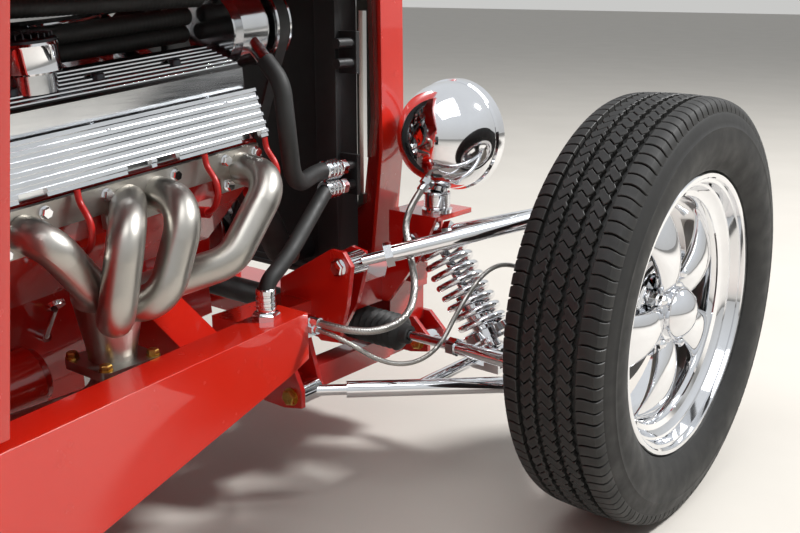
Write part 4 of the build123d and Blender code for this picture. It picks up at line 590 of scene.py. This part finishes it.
def wheelTemplate(kind):
    look = wheelLook[kind]
    half, offset, back = look["half"], look["offset"], look["back"]
    chrome = materials["chromePlate"]
    rimProfile = [
        (half - 5, 208), (half - 1.5, 208), (half, 206.5), (half, 201), (half - 1.5, 199.3),
        (half - 8, 197.8), (half - 15, 196.5), (half - 18.5, 194), (half - 20, 189), (half - 21, 186.5),
        (half - 24, 184), (half - 28, 180), (half - 32, 173), (half - 37, 168.2), (half - 44, 166),
        (0, 165.2), (-half + 40, 165), (-half + 30, 182), (-half + 4, 187), (-half, 200), (-half, 208),
        (-half + 5, 208), (-half + 7, 194), (-half + 32, 188.5), (-half + 42, 170), (half - 32, 170.5),
        (half - 25, 188.5), (half - 7, 193.5), (half - 5, 208),
    ]
    parts = [lathe("rim", rimProfile, (0, 0, 0), (1, 0, 0), chrome, steps=120, angle=28)]
    shift = offset - wheelLook["front"]["offset"]
    stations = [((0, forward + shift, out), wide, thick) for out, forward, wide, thick in wheelLook["paddle"]]
    # the loft runs along Z, its thickness along Y; a quarter turn about Z puts the thickness along the axle
    paddle = loft("paddle", stations, Matrix.Rotation(-math.pi / 2, 4, "Z"), chrome)
    modified(paddle, "SUBSURF", levels=1, render_levels=1)
    paddle.data.transform(Matrix.Rotation(math.radians(90 - wheelLook["firstSpoke"]), 4, "X"))
    spunCopies(paddle, wheelLook["spokes"], (0, 0, 0), (1, 0, 0))
    parts.append(smooth(paddle, 60))
    hub = [
        (back, 16), (back, 72), (offset - 12, 72), (offset - 8, 70), (offset - 4, 60), (offset - 2, 47),
        (offset + 8, 45), (offset + 14, 43.5), (offset + 15, 41), (offset + 15, 38), (offset + 20, 38.5),
        (offset + 22, 39.5), (offset + 25, 39), (offset + 30, 36), (offset + 37, 29), (offset + 43, 19),
        (offset + 46, 9), (offset + 47, 0.2), (offset + 20, 0.2), (offset + 18, 16), (back, 16),
    ]
    parts.append(lathe("hub", hub, (0, 0, 0), (1, 0, 0), chrome, steps=64, angle=40))
    nut = [
        (offset - 6, 0.2), (offset - 6, 12.5), (offset - 3, 12.5), (offset - 2, 10.6), (offset + 10, 10.4),
        (offset + 12, 8.6), (offset + 18, 8.2), (offset + 22, 6), (offset + 24, 2.5), (offset + 24.5, 0.2),
    ]
    nuts = lathe("nut", nut, (0, 0, 0), (1, 0, 0), chrome, steps=6, angle=20)
    nuts.data.transform(Matrix.Translation((0, 0, wheelLook["nutCircle"] / 1000)))
    modified(nuts, "BEVEL", width=0.0008, segments=2, limit_method="ANGLE")
    nuts.data.transform(Matrix.Rotation(math.radians(90 - wheelLook["firstSpoke"] + 36), 4, "X"))
    spunCopies(nuts, wheelLook["spokes"], (0, 0, 0), (1, 0, 0))
    parts.append(smooth(nuts, 30))
    valve = [(0, 0.2), (0, 5), (6, 5), (8, 3.4), (22, 3.2), (22.5, 4.1), (30, 4.1), (31, 3.2), (31, 0.2)]
    stem = lathe("valve", valve, (0, 0, 0), (0.8, 0, -0.6), chrome, steps=12, angle=30)
    stem.data.transform(Matrix.Translation(((half - 33) / 1000, 0, 0.176)))
    stem.data.transform(Matrix.Rotation(math.radians(12), 4, "X"))
    parts.append(stem)
    if look["drum"]:
        drum = [(back - 0.5, 40), (back - 0.5, 142), (back - 8, 142), (back - 12, 139)]
        for rib in range(4):
            start = back - 14 - rib * 11
            drum += [(start, 139), (start - 1, 142), (start - 6, 142), (start - 7, 139)]
        drum += [(back - 61, 139), (back - 61.5, 136), (back - 61.5, 40), (back - 0.5, 40)]
        parts.append(lathe("drum", drum, (0, 0, 0), (1, 0, 0), materials["turnedIron"], steps=72, angle=30))
    return joined(parts, "wheel_" + kind)


axles = {"front": (frontHalfTrack, frontAxle, frontHub), "rear": (rearHalfTrack, rearAxle, rearHub)}
for kind, (halfTrack, axleY, height) in axles.items():
    tyreModel, wheelModel = tyreTemplate(kind), wheelTemplate(kind)
    for sideName, side in bothSides:
        turn = Matrix.Rotation(0 if side > 0 else math.pi, 4, "Z")
        place = Matrix.Translation((side * halfTrack, axleY, height)) @ turn
        corner, label = kind + "_" + sideName.lower(), kind.title() + sideName
        finished(copied(tyreModel, label + "Tyre", place), "wheel_" + corner, "tyre_rubber", "tyre_" + corner)
        finished(copied(wheelModel, label + "Wheel", place), "wheel_" + corner, "chrome", "wheel_" + corner)
    print(kind, "tyre", len(tyreModel.data.polygons), "faces, wheel", len(wheelModel.data.polygons))
    bpy.data.objects.remove(tyreModel)
    bpy.data.objects.remove(wheelModel)
print("wheels and tyres built")


# hex bolts: a turned washer under a six-sided head; sizes in mm
def hexHead(place, axis, bolt, material):
    corner, flange, height = bolt["flats"] / math.sqrt(3), bolt["flats"] * 0.64, bolt["head"]
    washer = lathe("washer", [(0, 0), (0, flange), (1.6, flange), (1.6, 0)], place, axis, material, steps=24)
    crown = [(1.5, 0), (1.5, corner), (height - 1.4, corner), (height, corner * 0.84), (height, 0)]
    return joined([washer, lathe("head", crown, place, axis, material, steps=6, angle=20)], "bolt")


headerBolt = {"across": 281.8, "flats": 12.5, "head": 8}  # on the flange's outer face
headerRows = {  # height, and how far back each bolt sits
    "HeaderBolts": (171, (129, 184, 270, 374, 458, 515)),
    "HeaderLowBolts": (137, (129, 184, 370, 458, 515)),
}
for name, (height, places) in headerRows.items():
    heads = []
    for side in (1, -1):
        for aft in places:
            place = enginePoint(side * headerBolt["across"], aft, height)
            heads.append(hexHead(place, (side, 0, 0), headerBolt, materials["chromePlate"]))
    finished(joined(heads, name), "chassis_and_body", "chrome")

# bolts at the corners of the collectors' flanges
collectorBolt = {"outboard": 246, "aft": 622, "height": 311, "corner": 36, "flats": 14, "head": 8.5}
heads = []
for side in (1, -1):
    for across, along in ((-1, -1), (1, -1), (-1, 1), (1, 1)):
        place = carPoint(
            side * collectorBolt["outboard"] + across * collectorBolt["corner"],
            collectorBolt["aft"] + along * collectorBolt["corner"], collectorBolt["height"],
        )
        heads.append(hexHead(place, upwards, collectorBolt, materials["passivatedSteel"]))
finished(joined(heads, "CollectorBolts"), "chassis_and_body", "stainless_steel")

# screws that hold the valve covers down, with a socket in each head
coverScrew = {
    "across": 222, "height": 296, "aft": (200, 320, 440, 545),
    "profile": ((0, 0), (0, 8.4), (7, 8.4), (9, 7), (9, 4.2), (4, 3.8), (4, 0)),
}
screws = []
for side in (1, -1):
    for aft in coverScrew["aft"]:
        place = enginePoint(side * coverScrew["across"], aft, coverScrew["height"])
        screw = lathe("screw", coverScrew["profile"], place, engineUp, materials["blackOxide"], steps=20)
        screws.append(screw)
finished(joined(screws, "CoverScrews"), "chassis_and_body", "black_paint")

# breather on the right valve cover: a chromed cup under a dark lid with upright fins
breather = {
    "across": -214, "aft": 407, "low": 318, "radius": 38.5, "inside": 36, "lid": 353.5, "fins": 24,
    "finHalf": 0.7,
}
foot = enginePoint(breather["across"], breather["aft"], 0)
outer, low, lid, inside = breather["radius"], breather["low"], breather["lid"], breather["inside"]
cup = [
    (low, inside), (low, outer - 1), (low + 2, outer), (low + 5, outer - 0.6), (lid - 6, outer - 0.2),
    (lid - 3, outer + 1.2), (lid, outer + 0.4), (lid, inside), (low, inside),
]
chromedCup = lathe("BreatherCup", cup, foot, engineUp, materials["chromePlate"], steps=64)
finished(chromedCup, "chassis_and_body", "chrome")
cap = [(lid - 1, 0), (lid - 1, outer - 0.5), (lid + 3, outer - 1), (lid + 5, outer - 4), (lid + 5.5, 0)]
capPieces = [lathe("cap", cap, foot, engineUp, materials["blackOxide"], steps=48)]
fin = [  # one fin stands on the lid from near its middle to its edge
    (inner, side * breather["finHalf"], height)
    for inner in (7, outer - 5) for side in (-1, 1) for height in (lid + 4, lid + 10)
]
finFaces = [(0, 1, 3, 2), (4, 6, 7, 5), (0, 4, 5, 1), (2, 3, 7, 6), (1, 5, 7, 3), (0, 2, 6, 4)]
onLid = engineFrame @ Matrix.Translation((breather["across"] / 1000, breather["aft"] / 1000, 0))
corners = [onLid @ (Vector(corner) / 1000) for corner in fin]
fins = newPiece("fin", corners, [], finFaces, materials["blackOxide"])
modified(fins, "BEVEL", width=0.0003, segments=1)
spunCopies(fins, breather["fins"], foot, engineUp)
capPieces.append(smooth(fins, 30))
finished(joined(capPieces, "BreatherLid"), "chassis_and_body", "black_paint")


# ends of the cooling and air conditioning lines: a crimped sleeve over the hose and a hex nut on the fitting
def lineEnd(place, axis, radius, nutRadius):
    bore, ridge, groove = radius - 5, radius + 2.6, radius + 1.2
    sleeve = [(0, bore), (0, radius + 1.4), (3, ridge)]
    for start in (6, 14, 22):
        sleeve += [(start, ridge), (start + 1, groove), (start + 3, groove), (start + 4, ridge)]
    sleeve += [(32, radius + 2.4), (34, radius + 0.6), (34, bore), (0, bore)]
    crimp = lathe("sleeve", sleeve, place, axis, materials["buffedAluminium"], steps=40)
    corner = nutRadius + 5
    nut = [
        (-16, nutRadius), (-16, corner - 1.4), (-14.5, corner), (-4, corner),
        (-2.5, corner - 1.4), (0, nutRadius + 2), (0, nutRadius), (-16, nutRadius),
    ]
    return [crimp, lathe("nut", nut, place, axis, materials["chromePlate"], steps=6, angle=20)]


lineEnds = (  # where the hose starts, the way it leaves, its radius and the fitting's
    (carPoint(-258, 198.3, 500), alongCar, 13, 7.6),
    (carPoint(-258, 198.3, 470), alongCar, 12, 7.6),
    (carPoint(-300, 400, 327), upwards, 12, 15.2),
)
endPieces = [piece for spot in lineEnds for piece in lineEnd(*spot)]
finished(joined(endPieces, "LineEndsRight"), "chassis_and_body", "chrome")


# worm drive clamps: a band, a bridge and a hex screw across it
def wormClamp(place, axis, radius, turn):
    along = Vector(axis).normalized()
    out = Matrix.Rotation(turn, 3, along) @ along.orthogonal().normalized()
    steel, half, rim = materials["brushedStainless"], 6, radius + 1.3
    edge = [
        (-half, radius), (-half, rim), (-half + 1, rim - 0.5), (half - 1, rim - 0.5), (half, rim),
        (half, radius), (-half, radius),
    ]
    band = lathe("band", edge, place, along, steel, steps=56)
    screwLine = along.cross(out).normalized()
    centre = Vector(place) + out * ((radius + 4.6) / 1000)
    housing = [(-9, 0), (-9, 4.4), (-8, 4.8), (7, 4.8), (8, 4.4), (8, 0)]
    bridge = lathe("bridge", housing, centre, screwLine, steel, steps=20)
    shank = [(8, 0), (8, 3), (10, 3), (10, 4.2), (15, 4.2), (16, 3.4), (16, 0)]
    screw = lathe("screw", shank, centre, screwLine, materials["chromePlate"], steps=6, angle=20)
    return joined([band, bridge, screw], "clamp")


clampPlaces = (  # place, axis, band radius and where the screw sits round it
    (carPoint(-150, 208, 352), alongCar, 23.1, 0.6),
    (enginePoint(-112, 60, 128), (1, 0, 0), 23.1, 2.4),
    (carPoint(150, 206, 742), alongCar, 20.1, 0.2),
)
clamps = [wormClamp(*spot) for spot in clampPlaces]
finished(joined(clamps, "HoseClamps"), "chassis_and_body", "stainless_steel")

# three cabin hoses over the right valve cover, from the compressor back to collars on the firewall
cabinHose = {"radius": 12.5, "rib": 0.5, "pitch": 7, "collar": 16}
cabinRuns = {  # engine frame: start and end
    "Low": ((-150, 118, 326), (-150, 621, 326)),
    "Middle": ((-160, 118, 350), (-160, 619, 350)),
    "High": ((-190, 118, 375), (-190, 615, 402)),
}
for label, (start, end) in cabinRuns.items():
    run = enginePoint(*end) - enginePoint(*start)
    long, wide = run.length * 1000, cabinHose["radius"]
    profile = [(0, 0), (0, wide - 2)]
    for rib in range(int((long - 6 - cabinHose["collar"]) / cabinHose["pitch"])):
        place = 2 + rib * cabinHose["pitch"]
        profile += [(place, wide - cabinHose["rib"]), (place + 2, wide), (place + 4.6, wide)]
    collar = long - cabinHose["collar"]
    profile += [
        (collar, wide), (collar + 1, wide + 4.5), (long - 5, wide + 4.5),
        (long - 4, wide + 7), (long, wide + 7), (long, 0),
    ]
    hose = lathe("CabinHose" + label, profile, enginePoint(*start), run, materials["mouldedRubber"], steps=24)
    finished(hose, "chassis_and_body", "black_rubber")

# knurled collar round each lamp's stand
lampCollar = {
    "outboard": 355, "aft": 69, "low": 430, "high": 455.5, "bore": 17.5, "ridge": 21.4, "groove": 20.2,
    "rings": 5,
}
low, high, bore = lampCollar["low"], lampCollar["high"], lampCollar["bore"]
ridge, groove = lampCollar["ridge"], lampCollar["groove"]
collar = [(low, bore), (low, ridge - 1), (low + 1.5, ridge)]
for ring in range(lampCollar["rings"]):
    start = low + 3 + ring * 4
    collar += [(start, ridge), (start + 0.8, groove), (start + 1.8, groove), (start + 2.6, ridge)]
collar += [(high - 1.5, ridge - 0.2), (high, 20), (high, bore), (low, bore)]
for sideName, side in bothSides:
    stand = carPoint(side * lampCollar["outboard"], lampCollar["aft"], 0)
    knurled = lathe("LampCollar" + sideName, collar, stand, upwards, materials["chromePlate"], steps=48)
    finished(knurled, "chassis_and_body", "chrome")

# heads of the arms' pivot bolts: chromed above, straw coloured zinc below
pivotBolt = {"flats": 22, "head": 9.2}
pivotHeads = (  # outboard, aft, height, finish
    (330, 277.8, 370, "chromePlate"),
    (285, 340.8, 172, "passivatedSteel"),
    (330, 106.8, 376, "chromePlate"),
    (285, 26.8, 172, "passivatedSteel"),
)
heads = []
for side in (1, -1):
    for outboard, aft, height, finishName in pivotHeads:
        place = carPoint(side * outboard, aft, height)
        heads.append(hexHead(place, alongCar, pivotBolt, materials[finishName]))
finished(joined(heads, "PivotBolts"), "chassis_and_body", "stainless_steel")

# tail lamp bezels, turned, over the lens rims; along the car and out, in mm
tailBezel = {
    "place": (0.300, 1.750, 0.505),
    "profile": (
        (-2, 42.3), (-2, 46), (1, 48), (6, 47), (9.5, 43), (10, 38.5), (8.6, 37.4), (7.8, 42.3), (-2, 42.3),
    ),
}
for sideName, side in bothSides:
    outboard, rear, height = tailBezel["place"]
    place = Vector((side * outboard, rear, height))
    name, chrome = "TailBezel" + sideName, materials["chromePlate"]
    bezel = lathe(name, tailBezel["profile"], place, alongCar, chrome, steps=64)
    finished(bezel, "chassis_and_body", "chrome")

# instruments in the panel: chromed bezels, cream faces with marks, and a red needle; sizes in mm
panel = {
    "face": -0.2938, "marks": 13, "sweep": 260, "first": -130,
    "dials": ((230, 790, 44), (330, 795, 27), (150, 790, 27), (90, 788, 27), (-20, 788, 27)),
}
for index, (x, z, radius) in enumerate(panel["dials"]):
    place = Vector((x / 1000, panel["face"], z / 1000))
    ring = [
        (0, radius - 3), (0, radius + 3), (3, radius + 4), (6, radius + 2),
        (7, radius - 1), (5, radius - 3), (0, radius - 3),
    ]
    disc = [(0.3, 0), (0.3, radius - 2), (2, radius - 2), (2.2, 0)]
    dialParts = [
        lathe("bezel", ring, place, alongCar, materials["chromePlate"], steps=48),
        lathe("face", disc, place, alongCar, materials["creamEnamel"], steps=40),
    ]
    for tick in range(panel["marks"]):
        turn = math.radians(panel["first"] + tick * panel["sweep"] / (panel["marks"] - 1))
        long = 6 if tick % 3 == 0 else 3.5
        out = Vector((math.sin(turn), 0, math.cos(turn)))
        centre = place + out * ((radius - 6 - long / 2) / 1000) + Vector((0, 0.0022, 0))
        stroke = [(-long / 2, 0), (-long / 2, 0.6), (long / 2, 0.6), (long / 2, 0)]
        dialParts.append(lathe("mark", stroke, centre, out, materials["blackOxide"], steps=6))
    swing = -0.7 + index * 0.5
    needle = [(-6, 0), (-6, 1.1), (radius - 9, 0.5), (radius - 8, 0)]
    centre, out = place + Vector((0, 0.0042, 0)), Vector((math.sin(swing), 0, math.cos(swing)))
    dialParts.append(lathe("needle", needle, centre, out, materials["redEnamel"], steps=6))
    pin = [(2, 0), (2, 3.4), (5.4, 3), (6, 0)]
    dialParts.append(lathe("pin", pin, place, alongCar, materials["blackOxide"], steps=16))
    finished(joined(dialParts, "Dial" + str(index + 1)), "chassis_and_body", "chrome")
print("fittings built")


# bench seat: pads blown up as cloth inside the CAD solids, then drawn in at the sewn channels; metres
bench = {
    "width": 0.850, "lean": math.radians(12), "backThick": 0.117, "backTall": 0.325,
    "slack": 0.016, "bulge": 0.024, "corner": 0.022, "voxel": 0.0125, "quickVoxel": 0.014,
    "quality": 3, "pressure": 4, "steps": 20, "channels": 14, "channelDepth": 0.008, "channelWidth": 0.007,
    "plainEnd": 0.04, "seamIn": 0.034, "seamDepth": 0.004, "seamWidth": 0.004,
}


def blownUp(pad):
    cloth = pad.modifiers.new("Cloth", "CLOTH")
    cloth.settings.quality = bench["quality"]
    cloth.settings.use_pressure = True
    cloth.settings.uniform_pressure_force = bench["pressure"]
    cloth.settings.effector_weights.gravity = 0
    for step in range(1, bench["steps"] + 1):
        bpy.context.scene.frame_set(step)
    onlyThis(pad)
    bpy.ops.object.modifier_apply(modifier="Cloth")
    bpy.context.scene.frame_set(1)


def clothPad(name, size, turn, node):
    half = size[0] / 2
    bpy.ops.object.select_all(action="DESELECT")
    bpy.ops.mesh.primitive_cube_add(size=1)
    pad = bpy.context.object
    pad.name = pad.data.name = name
    pad.data.transform(Matrix.Diagonal((*[length - 2 * bench["slack"] for length in size], 1)))
    modified(pad, "BEVEL", width=bench["corner"], segments=4)
    modified(pad, "REMESH", mode="VOXEL", voxel_size=bench["voxel"])
    before = [vertex.co.copy() for vertex in pad.data.vertices]
    blownUp(pad)
    for vertex, start in zip(pad.data.vertices, before):
        move = vertex.co - start
        if move.length > bench["bulge"]:
            vertex.co = start + move * (bench["bulge"] / move.length)
    modified(pad, "SUBSURF", levels=1, render_levels=1)
    pitch = size[0] / bench["channels"]
    for vertex in pad.data.vertices:  # channels run front to back and up the back, between two end seams
        place = (vertex.co.x + half) % pitch
        channel = math.exp(-((min(place, pitch - place) / bench["channelWidth"]) ** 2))
        draw = bench["channelDepth"] * channel if abs(vertex.co.x) < half - bench["plainEnd"] else 0
        seam = abs(vertex.co.x) - (half - bench["seamIn"])
        draw += bench["seamDepth"] * math.exp(-((seam / bench["seamWidth"]) ** 2))
        vertex.co -= vertex.normal * draw
    pad.data.transform(turn)
    pad.data.materials.append(materials["tanHide"])
    smooth(pad, 60)
    finished(pad, "chassis_and_body", "tan_leather", node)
    print(name, "sewn,", len(pad.data.polygons), "faces")


low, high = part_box("seat_cushion")
middle = Matrix.Translation((Vector(low) + Vector(high)) / 2)
clothPad("BenchCushion", (bench["width"], high.y - low.y, high.z - low.z), middle, "seat_cushion")
low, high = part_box("seat_back")
middle = Matrix.Translation((Vector(low) + Vector(high)) / 2) @ Matrix.Rotation(-bench["lean"], 4, "X")
clothPad("BenchBack", (bench["width"], bench["backThick"], bench["backTall"]), middle, "seat_back")


# pale floor, pale world and plain lamps
studio = {
    "floorSize": 60, "floor": "#CFCAC2", "floorDark": "#C2BDB5", "mottle": 3.0, "floorRoughness": 0.7,
    "skyLow": "#D8D8D6", "skyHigh": "#F2F5F8", "skyTop": 0.6, "fill": 0.42, "seen": 0.85,
}
bpy.ops.mesh.primitive_plane_add(size=studio["floorSize"], location=(0, 0, 0))
floor = bpy.context.object
floor.name = "studioFloor"
floorFinish = bpy.data.materials.new("pourConcrete")  # power-floated concrete, pale, very faintly mottled
floorFinish.use_nodes = True
tree = floorFinish.node_tree
place = addNode(tree, "ShaderNodeTexCoord").outputs["Object"]
mottle = addNode(tree, "ShaderNodeTexNoise", {"Scale": studio["mottle"], "Detail": 8}, {"Vector": place})
tone = addNode(tree, "ShaderNodeValToRGB", {}, {"Fac": mottle.outputs["Fac"]})
dark, light = tone.color_ramp.elements
dark.color, light.color = srgb(studio["floorDark"]), srgb(studio["floor"])
tree.links.new(tone.outputs["Color"], tree.nodes["Principled BSDF"].inputs["Base Color"])
tree.nodes["Principled BSDF"].inputs["Roughness"].default_value = studio["floorRoughness"]
floor.data.materials.append(floorFinish)

world = bpy.data.worlds.new("paleStudio")
bpy.context.scene.world = world
world.use_nodes = True
tree = world.node_tree
tree.nodes.clear()
direction = addNode(tree, "ShaderNodeTexCoord").outputs["Generated"]
rise = addNode(tree, "ShaderNodeSeparateXYZ", {}, {"Vector": direction}).outputs["Z"]
sky = addNode(tree, "ShaderNodeValToRGB", {}, {"Fac": rise})
low, high = sky.color_ramp.elements
low.color, high.color, high.position = srgb(studio["skyLow"]), srgb(studio["skyHigh"]), studio["skyTop"]
plain, pale = (
    addNode(tree, "ShaderNodeBackground", {"Strength": studio[key]}, {"Color": sky.outputs["Color"]})
    for key in ("fill", "seen")
)
path = addNode(tree, "ShaderNodeLightPath").outputs
glossy = {0: path["Is Camera Ray"], 1: path["Is Glossy Ray"]}
seen = addNode(tree, "ShaderNodeMath", {"operation": "MAXIMUM"}, glossy)
clear = {0: seen.outputs["Value"], 1: path["Is Transmission Ray"]}
through = addNode(tree, "ShaderNodeMath", {"operation": "MAXIMUM"}, clear)
shown = {0: through.outputs["Value"], 1: plain.outputs["Background"], 2: pale.outputs["Background"]}
either = addNode(tree, "ShaderNodeMixShader", {}, shown)
addNode(tree, "ShaderNodeOutputWorld", {}, {"Surface": either.outputs["Shader"]})

lamps = {  # place, what it points at, width, watts
    "sunSide": ((-3.2, -4.2, 4.6), (-0.4, -1.2, 0.4), 0.8, 430),
    "skyPanel": ((-1.0, 0.6, 4.6), (0, 0, 0.3), 3.4, 110),
    "farPanel": ((4.2, 1.5, 3.4), (0, 0, 0.5), 2.6, 100),
}
for name, (place, target, width, watts) in lamps.items():
    bpy.ops.object.light_add(type="AREA", location=place)
    lamp = bpy.context.object
    lamp.name = name
    lamp.data.size = width
    lamp.data.energy = watts
    lamp.rotation_mode = "QUATERNION"
    lamp.rotation_quaternion = (Vector(target) - Vector(place)).to_track_quat("-Z", "Y")
bpy.context.scene.view_settings.view_transform = "Standard"
print("studio set")
